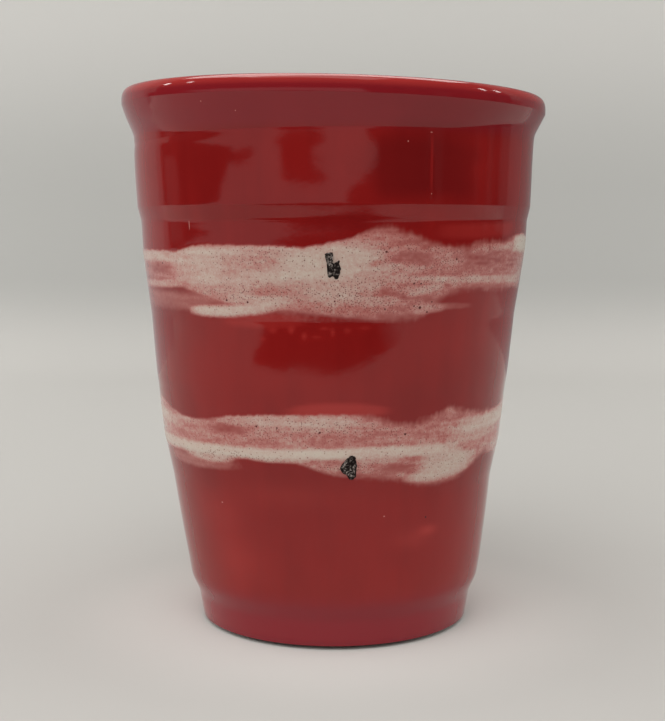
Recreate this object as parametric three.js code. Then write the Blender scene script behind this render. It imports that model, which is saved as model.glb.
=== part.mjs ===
// A hand-thrown art pottery vase: a fired clay wall that widens from a low foot to a rolled lip, red glaze
// inside and out, two brushed white bands round the wall, and a crusty black dab on each band.
// Millimetres, +Z up. The foot stands on z = 0, Z is the axis of the wheel, and the front faces -Y.

import * as THREE from 'three';

const { degToRad, lerp, radToDeg, smoothstep } = THREE.MathUtils;

// Outside form, measured over the glaze
const height = 127;          // table to the crest of the lip
const lipRadius = 51;        // widest part of the lip
const lipRise = 2.6;         // crest above the widest part
const lipRoll = 2;           // crest in from the widest part
const lipSlope = 0.36;       // outward slant of the flare, and of the lip's underside that it runs into
const lipTilt = 1.2;         // the uneven lip stands this much higher on the left and lower on the right
const flareRound = 0.8;      // rounding where the flare leaves the neck
const neckDrop = 8.5;        // the neck lies this far below the lip's widest part
const neckRadius = 48.3;     // wall at the neck
const heelRadius = 35.75;    // line of the wall at the top of the cove
const wallBelly = 1.68;      // swell of the wall out from a straight taper
const coveTop = 11.3;        // top of the cove between foot and wall
const coveBottom = 5.7;      // foot of the cove
const footInset = 1.17;      // the foot's side stands in from the line of the wall

// Throwing rings: soft steps that the fingers left in the wall, each at its middle height
const throwingRings = [
  { middle: 40.5, rise: 0.8, width: 11 },
  { middle: 59, rise: 0.12, width: 5 },
  { middle: 81.6, rise: 1, width: 19 },
  { middle: 98.7, rise: 0.62, width: 4.3 },
];

// Clay
const neckThickness = 3.6;      // wall at the neck
const heelThickness = 5;        // wall at the cove
const innerFlareRise = 14;      // height in which the inside opens out to the lip
const floorThickness = 5.5;     // floor between the hollow of the foot and the inside
const floorCorner = 12;         // reach of the rounded corner between floor and wall
const footRecess = 2;           // hollow under the foot
const footRingWidth = 6;        // flat ring that stands on the table
const footRingSlope = 1.4;      // slanted inner side of that ring
const footEdge = 0.9;           // bare edge left below the glaze
const footBevel = 0.6;          // how far that edge is rounded in

// Glaze
const glazeThickness = 0.6;
const coatClearance = 0.15;     // between a coat and the clay, a dab, or the next coat

// White bands: straight edges, and how far the brush strayed from them as [degrees from the front, mm]
const upperBand = {
  middle: 85,
  width: 13,
  topStray: [[-180, 1], [-140, -0.4], [-105, 0.4], [-80, -0.5], [-54, -1.5], [-38, 0], [-10, -0.8], [6, 2.6],
    [15, 4.4], [25, 0.6], [34, -0.7], [52, 0.4], [70, 2.4], [90, 1.8], [120, -0.6], [150, 0.4], [180, 1]],
  bottomStray: [[-180, 0.3], [-140, -0.6], [-110, 0.8], [-80, 2], [-54, 1.8], [-43, -1.6], [-30, -2.1],
    [-16, -0.5], [0, -2.3], [14, -2.5], [27, -1.7], [36, 2], [46, 4], [62, 3.6], [80, 3], [110, 0.5],
    [145, -1], [180, 0.3]],
};
const lowerBand = {
  middle: 47.9,
  width: 11.8,
  topStray: [[-180, 0.5], [-145, -0.6], [-110, 1], [-80, 2.2], [-68, 1.2], [-56, -1.3], [-44, -1.3], [-28, 0.2],
    [-15, 1], [2, 1], [14, 0], [24, -1.6], [38, 1.2], [56, -1], [80, 1.2], [110, 0.4], [145, -0.8], [180, 0.5]],
  bottomStray: [[-180, -0.4], [-140, 0.6], [-105, -1], [-80, -1], [-68, 1.5], [-56, 2.2], [-42, 0.3],
    [-30, 2.2], [-14, 1.6], [-2, -0.6], [20, -1.7], [35, -3.6], [50, -2.6], [60, 1], [80, -2.8], [105, -1],
    [140, 0.8], [180, -0.4]],
};
const strayReach = 7.5;         // a stray edge no longer moves a coat this far from it

// Black dabs: place on the band, and outline as [mm right, mm up] from that place
const dabProud = 0.7;
const dabRound = 0.2;
const upperDab = {
  band: upperBand,
  degrees: -0.3,
  above: 2.7,
  outline: [[-1.7, 1.9], [-0.3, 2.65], [0, 0.8], [0.5, 0.2], [1.45, 0.85], [1.8, -0.95], [1.4, -2.8],
    [0.6, -3.2], [-0.65, -2.9], [-1.2, -0.6]],
};
const lowerDab = {
  band: lowerBand,
  degrees: 5,
  above: -4.6,
  outline: [[0.6, 2.6], [1.65, 2.1], [2, 0.2], [1.7, -2.5], [0.5, -2.9], [-0.25, -1.95], [-1.5, -1],
    [-1.75, -0.2], [-0.25, 1.95]],
};

// Fineness of the facets
const columns = 40;
const rowSpacing = 5;
const curveRows = 4;            // rows in the cove, the flare, the inside of the lip and the floor's corner
const dabSides = 26;

// Levels and radii that follow from the sizes above
const lipLevel = height - lipRise;
const crestRadius = lipRadius - lipRoll;
const neckLevel = lipLevel - neckDrop;
const lipTurn = Math.atan(lipSlope * lipRise / lipRoll);   // turn below the widest part where the roll starts
const lipStart = lipLevel - lipRise * Math.sin(lipTurn);
const floorLevel = footRecess + floorThickness + glazeThickness;

// Even steps from one value to another, without the first
function steps(from, to, count) {
  return Array.from({ length: count }, (_, i) => lerp(from, to, (i + 1) / count));
}

// Line of the wall: a taper with a belly, and a soft step at each throwing ring
function wallRadius(z) {
  const along = (z - coveTop) / (neckLevel - coveTop);
  let ringsBelow = 0;
  let ringsInAll = 0;
  for (const { middle, rise, width } of throwingRings) {
    ringsBelow += rise * smoothstep(z, middle - width / 2, middle + width / 2);
    ringsInAll += rise;
  }
  const taper = lerp(heelRadius, neckRadius - ringsInAll, along);
  return taper + wallBelly * 4 * along * (1 - along) + ringsBelow;
}

// What the flare adds to the wall: a straight cone that meets the roll of the lip, its foot rounded by a hyperbola
function flare(z) {
  const slope = lipSlope - wallRadius(lipStart + 0.5) + wallRadius(lipStart - 0.5);
  const gain = crestRadius + lipRoll * Math.cos(lipTurn) - wallRadius(lipStart);
  const rise = Math.abs(gain) / slope;
  const above = z - lipStart + rise - flareRound ** 2 / (4 * rise);
  return Math.sign(gain) * slope * (above + Math.hypot(above, flareRound)) / 2;
}

// Rolled lip: an ellipse up to its crest, on the outside (side 1) or the inside (-1)
function lipPoint(z, depth, side) {
  const turn = Math.asin(Math.min(1, (z - lipLevel) / lipRise));   // rounding can pass 1 at the crest
  const radius = crestRadius + side * (lipRoll - depth) * Math.cos(turn);
  return new THREE.Vector2(radius, lipLevel + (lipRise - depth) * Math.sin(turn));
}

// Point of the outside at a height, sunk by a depth under the glaze's surface
function outsidePoint(z, depth) {
  if (z > lipStart) return lipPoint(z, depth, 1);
  const inset = footInset * (1 - smoothstep(z, coveBottom, coveTop));
  return new THREE.Vector2(wallRadius(z) + flare(z) - inset - depth, z);
}

// Point of the inside at a height, sunk by a depth under the lining's surface
function insidePoint(z, depth) {
  if (z > lipLevel) return lipPoint(z, depth, -1);
  const along = (z - coveTop) / (neckLevel - coveTop);
  const clay = lerp(heelThickness, neckThickness, along);
  const wall = wallRadius(z) - 2 * glazeThickness - clay;
  const opened = smoothstep(z, lipLevel - innerFlareRise, lipLevel);
  return new THREE.Vector2(lerp(wall, crestRadius - lipRoll, opened) + depth, z);
}

// Heights of the rows over the roll of the lip, from a turn on its ellipse to the crest
function lipRows(fromTurn, count) {
  return steps(fromTurn, Math.PI / 2, count).map((turn) => lipLevel + lipRise * Math.sin(turn));
}

// Heights of the rows over the outside, from the glaze's edge to the crest, with two at each throwing ring
const ringRows = throwingRings.flatMap(({ middle, width }) => [middle - width / 2, middle + width / 2]);
const outsideRows = [
  footEdge,
  ...steps(footEdge, coveBottom, 2),
  ...steps(coveBottom, coveTop, curveRows),
  ...steps(coveTop, neckLevel, Math.ceil((neckLevel - coveTop) / rowSpacing)),
  ...ringRows,
  ...steps(neckLevel, lipStart, curveRows),
  ...lipRows(-lipTurn, curveRows + 1),
].sort((a, b) => a - b);

// Outline of the inside from the axis to the crest, sunk by a depth: floor, rounded corner, wall and lip
function insideOutline(depth) {
  const cornerTop = floorLevel + floorCorner;
  const wallAtFloor = insidePoint(floorLevel, depth).x;
  const corner = new THREE.QuadraticBezierCurve(
    new THREE.Vector2(wallAtFloor - floorCorner, floorLevel - depth),
    new THREE.Vector2(wallAtFloor, floorLevel - depth),
    insidePoint(cornerTop, depth),
  );
  const wallRows = steps(cornerTop, lipLevel, Math.ceil((lipLevel - cornerTop) / (2 * rowSpacing)));
  const overCorner = [...wallRows, ...lipRows(0, curveRows)].map((z) => insidePoint(z, depth));
  return [new THREE.Vector2(0, floorLevel - depth), ...corner.getPoints(curveRows), ...overCorner];
}

// Carries every vertex of a turned section to its place: across and up the section, and round the wheel
function carry(geometry, toWall) {
  const place = geometry.getAttribute('position');
  for (let i = 0; i < place.count; i++) {
    const angle = Math.atan2(place.getX(i), place.getZ(i));
    const across = Math.hypot(place.getX(i), place.getZ(i));
    putOnWheel(place, i, angle, toWall(across, place.getY(i), angle));
  }
  geometry.computeVertexNormals();
  return geometry;
}

// Puts one vertex at an angle from the front, with the uneven lip raised on the left and lowered on the right
function putOnWheel(place, i, angle, point) {
  const x = point.x * Math.sin(angle);
  const y = -point.x * Math.cos(angle);
  const tilt = -lipTilt * (x / lipRadius) * smoothstep(point.y, lipLevel - innerFlareRise, lipLevel);
  place.setXYZ(i, x, y, point.y + tilt);
}

// A solid turned on the wheel from its section
function turned(section) {
  return carry(new THREE.LatheGeometry(section, columns), (across, up) => new THREE.Vector2(across, up));
}

// Smooth closed curve through [degrees, mm] points, as a function of the angle
function stray(points) {
  const curve = new THREE.CubicInterpolant(points.map(([at]) => at), points.map(([, mm]) => mm), 1);
  curve.settings = { endingStart: THREE.WrapAroundEnding, endingEnd: THREE.WrapAroundEnding };
  return (angle) => curve.evaluate(radToDeg(angle))[0];
}

// An edge of a coat: its straight height, and how far it strays at each angle
function bandTop({ middle, width, topStray }, clearance) {
  return { z: middle + width / 2 + clearance, strayAt: stray(topStray) };
}

function bandBottom({ middle, width, bottomStray }, clearance) {
  return { z: middle - width / 2 + clearance, strayAt: stray(bottomStray) };
}

function straightEdge(z) {
  return { z, strayAt: () => 0 };
}

// A coat of glaze between two edges: a section two units deep is turned, then carried onto the clay
function coat(low, high) {
  const between = outsideRows.filter((z) => z > low.z + coatClearance && z < high.z - coatClearance);
  const rows = [low.z, ...between, high.z];
  const outer = rows.map((z) => new THREE.Vector2(2, z));
  const inner = rows.map((z) => new THREE.Vector2(1, z)).reverse();
  const section = new THREE.LatheGeometry([...outer, ...inner, outer[0]], columns);
  return carry(section, (across, row, angle) => {
    const lowShare = 1 - smoothstep(row - low.z, 0, strayReach);
    const highShare = 1 - smoothstep(high.z - row, 0, strayReach);
    const z = row + low.strayAt(angle) * lowShare + high.strayAt(angle) * highShare;
    return outsidePoint(z, across > 1.5 ? 0 : glazeThickness - coatClearance);
  });
}

// The thrown clay: hollow foot, foot ring, outside, lip and inside
function clayBody() {
  const outside = outsideRows.map((z) => outsidePoint(z, glazeThickness));
  const ringOuter = outside[0].x - footBevel;
  const ringInner = ringOuter - footRingWidth;
  const inside = insideOutline(glazeThickness).reverse().slice(1);
  return turned([
    new THREE.Vector2(0, footRecess),
    new THREE.Vector2(ringInner - footRingSlope, footRecess),
    new THREE.Vector2(ringInner, 0),
    new THREE.Vector2(ringOuter, 0),
    ...outside,
    ...inside,
  ]);
}

// The lining: a skin over the whole inside, up to the crest
function liningGlaze() {
  return turned([...insideOutline(glazeThickness - coatClearance), ...insideOutline(0).reverse()]);
}

// A dab: a closed soft outline with a rounded edge, bent onto the outside of its band
function dab({ band, degrees, above, outline }) {
  const loop = new THREE.CatmullRomCurve3(outline.map(([right, up]) => new THREE.Vector3(right, up, 0)), true);
  const geometry = new THREE.ExtrudeGeometry(new THREE.Shape(loop.getPoints(dabSides)), {
    depth: dabProud - 2 * dabRound,
    bevelThickness: dabRound,
    bevelSize: dabRound,
    bevelOffset: -dabRound,
    bevelSegments: 2,
  });
  const place = geometry.getAttribute('position');
  const middleRadius = outsidePoint(band.middle + above, 0).x;
  for (let i = 0; i < place.count; i++) {
    const angle = degToRad(degrees) + place.getX(i) / middleRadius;
    const point = outsidePoint(band.middle + above + place.getY(i), 0);
    point.x += coatClearance + dabRound + place.getZ(i);
    putOnWheel(place, i, angle, point);
  }
  geometry.computeVertexNormals();
  return geometry;
}

// Finishes
const bareClay = { color: 0xb5926e, roughness: 0.85 };
const redGlaze = { color: 0x8c1517, roughness: 0.12 };
const whiteGlaze = { color: 0xd8cbb9, roughness: 0.25 };
const blackCrust = { color: 0x17161a, roughness: 0.6 };

const halfGap = coatClearance / 2;
const pieces = [
  ['clay_body', clayBody(), bareClay],
  ['lining_glaze', liningGlaze(), redGlaze],
  ['upper_glaze', coat(bandTop(upperBand, halfGap), straightEdge(height)), redGlaze],
  ['upper_band', coat(bandBottom(upperBand, halfGap), bandTop(upperBand, -halfGap)), whiteGlaze],
  ['middle_glaze', coat(bandTop(lowerBand, halfGap), bandBottom(upperBand, -halfGap)), redGlaze],
  ['lower_band', coat(bandBottom(lowerBand, halfGap), bandTop(lowerBand, -halfGap)), whiteGlaze],
  ['lower_glaze', coat(straightEdge(footEdge), bandBottom(lowerBand, -halfGap)), redGlaze],
  ['upper_dab', dab(upperDab), blackCrust],
  ['lower_dab', dab(lowerDab), blackCrust],
];

const vase = new THREE.Group();
for (const [name, geometry, finish] of pieces) {
  const mesh = new THREE.Mesh(geometry, new THREE.MeshStandardMaterial({ ...finish, metalness: 0 }));
  mesh.name = name;
  vase.add(mesh);
}

export default vase;
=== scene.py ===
# %% [markdown]
# # An art pottery vase, dressed in Blender
# The vase is a hand-thrown pot: a clay wall that opens from a low foot to a rolled lip, a glossy red
# glaze, two bands of white brushed over the red, and a crusty black dab on each band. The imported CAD
# model is the frame. This lesson puts a finer surface over each of its pieces, in the same place and at
# the same size.

# %% Load the frame
import math

import bpy
import numpy as np
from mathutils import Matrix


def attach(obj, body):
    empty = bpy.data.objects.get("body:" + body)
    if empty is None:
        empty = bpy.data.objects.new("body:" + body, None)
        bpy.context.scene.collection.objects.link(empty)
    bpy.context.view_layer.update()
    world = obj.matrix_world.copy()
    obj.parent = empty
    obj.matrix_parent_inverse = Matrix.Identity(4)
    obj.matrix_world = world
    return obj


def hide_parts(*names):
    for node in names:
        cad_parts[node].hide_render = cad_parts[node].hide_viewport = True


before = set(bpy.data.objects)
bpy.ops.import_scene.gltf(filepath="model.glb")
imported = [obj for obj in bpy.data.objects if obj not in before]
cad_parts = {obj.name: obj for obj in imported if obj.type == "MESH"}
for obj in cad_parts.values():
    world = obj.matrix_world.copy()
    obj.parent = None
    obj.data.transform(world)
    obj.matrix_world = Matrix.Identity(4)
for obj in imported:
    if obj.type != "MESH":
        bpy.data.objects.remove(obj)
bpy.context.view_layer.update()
print("CAD nodes:", sorted(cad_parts))

# %% [markdown]
# ## Camera
# The photograph was taken from just above the middle of the vase, close by. A camera could be placed by
# eye, but the ellipses of lip and foot fix it better: the lens and the place below make both come out as
# the photograph has them. Depth of field stays off, so that every part of the glaze is sharp from any
# side.

# %% Make the camera
IMAGE_HEIGHT = 721
FOCAL_PIXELS = 1314.4
SENSOR_MM = 36
CAMERA_PLACE = (-0.00043, -0.3245, 0.0951)
CAMERA_DIP = 5.71
CAMERA_NEAR = 0.01


def add_object(name, data):
    """An object with its data, such as a camera, a lamp or a mesh, linked into the scene."""
    made = bpy.data.objects.new(name, data)
    bpy.context.scene.collection.objects.link(made)
    return made


camera = add_object("camera", bpy.data.cameras.new("camera"))
camera.data.sensor_width = SENSOR_MM
camera.data.lens = FOCAL_PIXELS * SENSOR_MM / IMAGE_HEIGHT
camera.data.clip_start = CAMERA_NEAR
camera.location = CAMERA_PLACE
camera.rotation_euler = (math.radians(90 - CAMERA_DIP), 0, 0)
bpy.context.scene.camera = camera
bpy.context.scene.view_settings.view_transform = "Standard"
print(f"camera lens {camera.data.lens:.1f} mm")

# %% [markdown]
# ## Node helpers
# Every finish is a small tree of nodes. It could be wired by hand in the shader editor. Here one helper
# makes a node, sets its options, and links or fills its sockets, and the others are short names for the
# nodes that are used most. Each finish below then reads as a list of what it is made of.

# %% Write the node helpers
def node(tree, kind, inputs=None, output=0, **options):
    """Adds a node, sets its options, fills or links its inputs, and returns one of its outputs."""
    made = tree.nodes.new(kind)
    for name, value in options.items():
        setattr(made, name, value)
    for name, value in (inputs or {}).items():
        if isinstance(value, bpy.types.NodeSocket):
            tree.links.new(value, made.inputs[name])
        else:
            made.inputs[name].default_value = value
    return made.outputs[output] if made.outputs else made


def math_of(tree, operation, first, second):
    """One sum, product or other operation on two values."""
    return node(tree, "ShaderNodeMath", {0: first, 1: second}, operation=operation)


def times(tree, first, second):
    """The product of two values."""
    return math_of(tree, "MULTIPLY", first, second)


def blend(tree, first, second, share):
    """The second value times its share, plus the first times the rest."""
    return math_of(tree, "ADD", times(tree, first, 1 - share), times(tree, second, share))


def mix_colour(tree, share, first, second):
    """The colour part of the way from the first to the second."""
    return node(tree, "ShaderNodeMix", {0: share, 6: first, 7: second}, output=2, data_type="RGBA")


def between(tree, value, low, high, to_low=0.0, to_high=1.0):
    """Eases a value in the range low to high onto another range, and holds it there outside."""
    inputs = {"Value": value, "From Min": low, "From Max": high, "To Min": to_low, "To Max": to_high}
    return node(tree, "ShaderNodeMapRange", inputs, interpolation_type="SMOOTHSTEP")


short_names = (math_of, times, blend, mix_colour, between)
print("short names for nodes:", ", ".join(helper.__name__ for helper in short_names))

# %% Write the helpers for places and surfaces
def object_place(tree, scale=(1, 1, 1)):
    """Object coordinates, stretched along each axis."""
    place = node(tree, "ShaderNodeTexCoord", output=3)
    return node(tree, "ShaderNodeMapping", {"Vector": place, "Scale": scale})


def noise_of(tree, scale, detail, stretch=(1, 1, 1)):
    """Soft noise on Object coordinates: about as many lumps a metre as its scale, with finer ones on them."""
    inputs = {"Vector": object_place(tree, stretch), "Scale": scale, "Detail": detail}
    return node(tree, "ShaderNodeTexNoise", inputs)


def stored(tree, name):
    """The number that a piece stores under a name for each of its points."""
    return node(tree, "ShaderNodeAttribute", attribute_name=name, output=2)


def bump(tree, height, strength, depth):
    """The slant that a surface gets from a height, with a strength and a depth in metres."""
    return node(tree, "ShaderNodeBump", {"Strength": strength, "Distance": depth, "Height": height})


def new_material(name):
    """An empty node material: returns it with its tree."""
    material = bpy.data.materials.new(name)
    material.use_nodes = True
    material.node_tree.nodes.clear()
    return material, material.node_tree


def fired_surface(tree, colour, roughness, ior, slant):
    """Ends a material's tree: one surface with a colour, a roughness, a gloss and a slant."""
    inputs = {"Base Color": colour, "Roughness": roughness, "IOR": ior, "Normal": slant}
    surface = node(tree, "ShaderNodeBsdfPrincipled", inputs)
    node(tree, "ShaderNodeOutputMaterial", {"Surface": surface})


finish_helpers = (object_place, noise_of, stored, bump, new_material, fired_surface)
print("helpers for finishes:", ", ".join(helper.__name__ for helper in finish_helpers))

# %% [markdown]
# ## Steps and noise
# A few small tools serve the whole pot. A smooth step eases from 0 to 1, and a bell falls off on either
# side. Value noise is a lattice of random numbers joined by smooth steps. Blender has noises of its own,
# but this one closes on itself round the pot, and can shape points as well as colours. A closed line is
# a drawn edge: a smooth curve round the pot through a few given angles and heights.

# %% Write the steps and the angles
def smooth_step(x, low, high):
    """0 below low, 1 above high, and between them 3u2 - 2u3 of the share u of the way."""
    u = np.clip((x - low) / (high - low), 0, 1)
    return u * u * (3 - 2 * u)


def bell(u):
    """1 at 0, and less on either side: e to the power of minus u squared."""
    return np.exp(-u ** 2)


def cubic(u, start, end, start_slope, end_slope):
    """The cubic from start to end with a slope at each, at the share u of the way."""
    leaving = start * (1 + 2 * u) * (1 - u) ** 2 + start_slope * u * (1 - u) ** 2
    return leaving + end * u * u * (3 - 2 * u) - end_slope * u * u * (1 - u)


def signed_degrees(theta):
    """An angle round the pot in degrees, from -180 to 180, with 0 in front."""
    return (np.degrees(theta) + 180) % 360 - 180


def turned_from(theta, degrees):
    """Angle from a place on the pot, the short way round."""
    return (theta - math.radians(degrees) + math.pi) % (2 * math.pi) - math.pi


print("half way up a smooth step:", smooth_step(0.5, 0, 1), "and a bell at 1:", bell(1.0).round(2))

# %% Write the noise and the closed line
LATTICE_ROWS = 512


def value_noise(theta, z, cells_round, cell_height, seed):
    """Noise from -1 to 1: random lattice values, mixed by smooth steps along angle and height."""
    lattice = np.random.default_rng(seed).uniform(-1, 1, (cells_round, LATTICE_ROWS))
    u = theta / (2 * math.pi) % 1 * cells_round
    v = z / cell_height
    i, j = np.floor(u).astype(int), np.floor(v).astype(int)
    s, t = smooth_step(u - i, 0, 1), smooth_step(v - j, 0, 1)
    here, next_round = i % cells_round, (i + 1) % cells_round
    up, next_up = j % LATTICE_ROWS, (j + 1) % LATTICE_ROWS
    lower = lattice[here, up] * (1 - s) + lattice[next_round, up] * s
    upper = lattice[here, next_up] * (1 - s) + lattice[next_round, next_up] * s
    return lower * (1 - t) + upper * t


def layered_noise(theta, z, layers):
    """The sum of value noises, each with its weight, cells round the pot, cell height and seed."""
    return sum(weight * value_noise(theta, z, *cells) for weight, *cells in layers)


def closed_line(theta, points):
    """Height of a smooth line round the pot through (degrees, mm) points: cubics that share their slopes."""
    at, height = np.array(points, float).T
    at = np.concatenate([at[-1:] - 360, at, at[:1] + 360])
    height = np.concatenate([height[-1:], height, height[:1]])
    slope = np.gradient(height, at)
    degrees = signed_degrees(theta)
    k = np.clip(np.searchsorted(at, degrees) - 1, 0, len(at) - 2)
    span = at[k + 1] - at[k]
    u = (degrees - at[k]) / span
    return cubic(u, height[k], height[k + 1], slope[k] * span, slope[k + 1] * span)


print("a line through two heights, between them:", closed_line(math.pi / 2, [(0, 1), (180, 3)]).round(2))

# %% [markdown]
# ## Floor and backdrop
# A pale sheet lies under the pot and sweeps up behind it in one soft curve, so that there is no line
# where the floor ends. A cloth simulation could drape it, but a flat strip bent along a quarter circle is
# enough: a profile carried sideways. Painted shade makes the cloth a little darker where it starts to rise;
# it is pale again higher up, and painted light makes it palest close to the pot, where the pot would shade
# it. The sheet lies a little below the foot: the gap stays in shade, and draws the dark line that a pot on
# soft cloth has round its foot in a photograph.

# %% Set the sheet, in metres
PALE_CLOTH = (0.52, 0.512, 0.493, 1)
# Painted shade: the cloth is darker where it starts to rise.
SHADED_RISING_CLOTH = (0.383, 0.382, 0.369, 1)
HIGH_CLOTH = (0.53, 0.524, 0.507, 1)
# Painted light: the cloth is paler close to the pot, where the pot would shade it.
LIT_NEAR_CLOTH = (0.625, 0.61, 0.588, 1)
LIT_NEAR_REACH = (0.035, 0.075)
RISE_SHADE = 0.06
HIGH_START = 0.12
HIGH_END = 0.32
SHEET_LEVEL = -0.0006
SHEET_FRONT = -3.0
SHEET_BEND_START = 0.5
SHEET_BEND_RADIUS = 0.35
SHEET_TOP = 2.2
SHEET_HALF_WIDTH = 3.0
BEND_STEPS = 24


def grid_mesh(name, points):
    """A mesh of four-sided faces over a grid of points (rows, columns, 3), in metres."""
    rows, columns = points.shape[:2]
    index = np.arange(rows * columns).reshape(rows, columns)
    faces = np.stack([index[:-1, :-1], index[:-1, 1:], index[1:, 1:], index[1:, :-1]], axis=-1)
    mesh = bpy.data.meshes.new(name)
    mesh.from_pydata(points.reshape(-1, 3).tolist(), [], faces.reshape(-1, 4).tolist())
    return add_object(name, mesh)


print(f"the sheet bends {SHEET_BEND_START} m behind the pot, in a curve of {SHEET_BEND_RADIUS} m")

# %% Make the pale sheet
turn = np.linspace(0, math.pi / 2, BEND_STEPS)
bend_y = SHEET_BEND_START + SHEET_BEND_RADIUS * np.sin(turn)
bend_z = SHEET_BEND_RADIUS * (1 - np.cos(turn))
sheet_y = np.concatenate([[SHEET_FRONT], bend_y, [bend_y[-1]]])
sheet_z = SHEET_LEVEL + np.concatenate([[0], bend_z, [SHEET_TOP]])
sheet_x = np.array([[-SHEET_HALF_WIDTH], [SHEET_HALF_WIDTH]])
floor = grid_mesh("floor_sheet", np.stack(np.broadcast_arrays(sheet_x, sheet_y, sheet_z), axis=-1))
floor.data.shade_smooth()
cloth, tree = new_material("pale_cloth")
place = object_place(tree)
height = node(tree, "ShaderNodeSeparateXYZ", {0: place}, output=2)
from_pot = node(tree, "ShaderNodeVectorMath", {0: place}, operation="LENGTH", output=1)
# Painted light near the pot, then painted shade where the sheet starts to rise.
colour = mix_colour(tree, between(tree, from_pot, *LIT_NEAR_REACH), LIT_NEAR_CLOTH, PALE_CLOTH)
colour = mix_colour(tree, between(tree, height, 0.0, RISE_SHADE), colour, SHADED_RISING_CLOTH)
colour = mix_colour(tree, between(tree, height, HIGH_START, HIGH_END), colour, HIGH_CLOTH)
surface = node(tree, "ShaderNodeBsdfDiffuse", {"Color": colour})
node(tree, "ShaderNodeOutputMaterial", {"Surface": surface})
floor.data.materials.append(cloth)
print(f"floor sheet: {len(floor.data.polygons)} faces")

# %% [markdown]
# ## Light
# The pot stands in soft room light: an even glow from all round, a wide lamp above, in front and to the
# left, a weaker one on either side, so that the sides don't fall dark, and two low ones behind, which
# brighten the cloth beside the pot. Together they give about the light at which a colour renders as it is
# written. Six more lamps are there for glossy rays alone: two ceiling panels draw the bright line on the
# crest of the lip, and four small lamps the sparks at its ends. Glossy rays see a dim room instead of the
# glow, as in a real room, and the camera sees a pale wall wherever the sheet ends. One lamp for
# everything would be simpler, but then the light and its mirrored shape in the glaze couldn't be set
# apart.

# %% Set the lamps
GLOW = 0.72
DIM_ROOM = 0.08
PALE_WALL = 0.50
LAMP_COLOUR = (1, 0.985, 0.96)
SOFT_LAMPS = [
    {"watts": 12.5, "size": (1.4, 1.4), "place": (-0.25, -0.9, 1.1)},
    {"watts": 2.5, "size": (1.0, 1.0), "place": (-1.3, 0.0, 0.5)},
    {"watts": 2.3, "size": (1.0, 1.0), "place": (1.3, 0.0, 0.5)},
    {"watts": 2.4, "size": (0.6, 0.3), "place": (-0.75, 0.46, 0.16)},
    {"watts": 1.8, "size": (0.6, 0.3), "place": (0.75, 0.46, 0.16)},
]
MIRRORED_LAMPS = [
    {"watts": 40.0, "size": (2.2, 1.1), "place": (-0.1, 0.3, 1.5)},
    {"watts": 6.0, "size": (1.5, 0.7), "place": (-0.15, -0.6, 1.5)},
    {"watts": 0.35, "size": (0.06, 0.16), "place": (-1.17, 0.22, 0.63)},
    {"watts": 0.35, "size": (0.08, 0.16), "place": (-1.15, -0.13, 0.70)},
    {"watts": 0.4, "size": (0.06, 0.16), "place": (1.16, -0.02, 0.68)},
    {"watts": 0.3, "size": (0.07, 0.16), "place": (1.17, 0.20, 0.63)},
]
print(f"{len(SOFT_LAMPS)} soft lamps, {len(MIRRORED_LAMPS)} mirrored lamps, glow {GLOW}")

# %% Light the stage
world = bpy.data.worlds.new("room")
bpy.context.scene.world = world
world.use_nodes = True
tree = world.node_tree
tree.nodes.clear()
ray = tree.nodes.new("ShaderNodeLightPath")
for_glossy = node(tree, "ShaderNodeMix", {0: ray.outputs["Is Glossy Ray"], 2: GLOW, 3: DIM_ROOM})
strength = node(tree, "ShaderNodeMix", {0: ray.outputs["Is Camera Ray"], 2: for_glossy, 3: PALE_WALL})
glow = node(tree, "ShaderNodeBackground", {"Color": LAMP_COLOUR + (1,), "Strength": strength})
node(tree, "ShaderNodeOutputWorld", {"Surface": glow})


def hang_lamp(name, watts, size, place):
    """A flat lamp of a given size that hangs at a place and faces the pot."""
    lamp = add_object(name, bpy.data.lights.new(name, "AREA"))
    lamp.data.shape = "RECTANGLE"
    lamp.data.energy = watts
    lamp.data.size, lamp.data.size_y = size
    lamp.data.color = LAMP_COLOUR
    lamp.visible_camera = False
    lamp.location = place
    lamp.rotation_euler = lamp.location.to_track_quat("Z", "Y").to_euler()
    return lamp


for count, lamp in enumerate(SOFT_LAMPS):
    hang_lamp(f"soft_lamp_{count}", **lamp).visible_glossy = False
for count, lamp in enumerate(MIRRORED_LAMPS):
    hang_lamp(f"mirrored_lamp_{count}", **lamp).visible_diffuse = False

# %% [markdown]
# ## What the gloss mirrors
# A glossy pot shows its surroundings. The pale table ends not far in front of the pot and on its right,
# and the room beyond it is dark: that makes the deep patches in the red. A picture of a room could be
# mirrored, but cards are easier to move until the patches sit right. Dark cards lie on the floor past the
# table's edges. One curved card stands round the front of the pot for the room: dark, with soft-edged
# pale places where the room has something pale in it. Two dull cards go on from it round the sides. Only
# glossy rays see the standing cards, and no card throws a shade.

# %% Set the cards on the table, in metres
MM = 0.001
CARD_REACH = 3.0
CARD_LEVEL = 0.0004
TABLE_FRONT = -0.25
TABLE_RIGHT = 0.45
TABLE_BACK = 0.2
TABLE_EDGE_X = [-0.236, -0.20, -0.17, -0.13, -0.10, -0.05, 0.14, 0.21]
TABLE_EDGE_Y = [-0.212, -0.216, -0.225, -0.234, -0.25, -0.253, TABLE_FRONT, TABLE_FRONT]
DARK_FLOOR = 0.05
PALE_FLOOR = 0.5
FRONT_BRIGHTNESS = [DARK_FLOOR] * (len(TABLE_EDGE_X) - 1) + [PALE_FLOOR]
RIGHT_BRIGHTNESS = [PALE_FLOOR, DARK_FLOOR, DARK_FLOOR]
print(f"the table's front edge has {len(TABLE_EDGE_X)} points")

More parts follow.
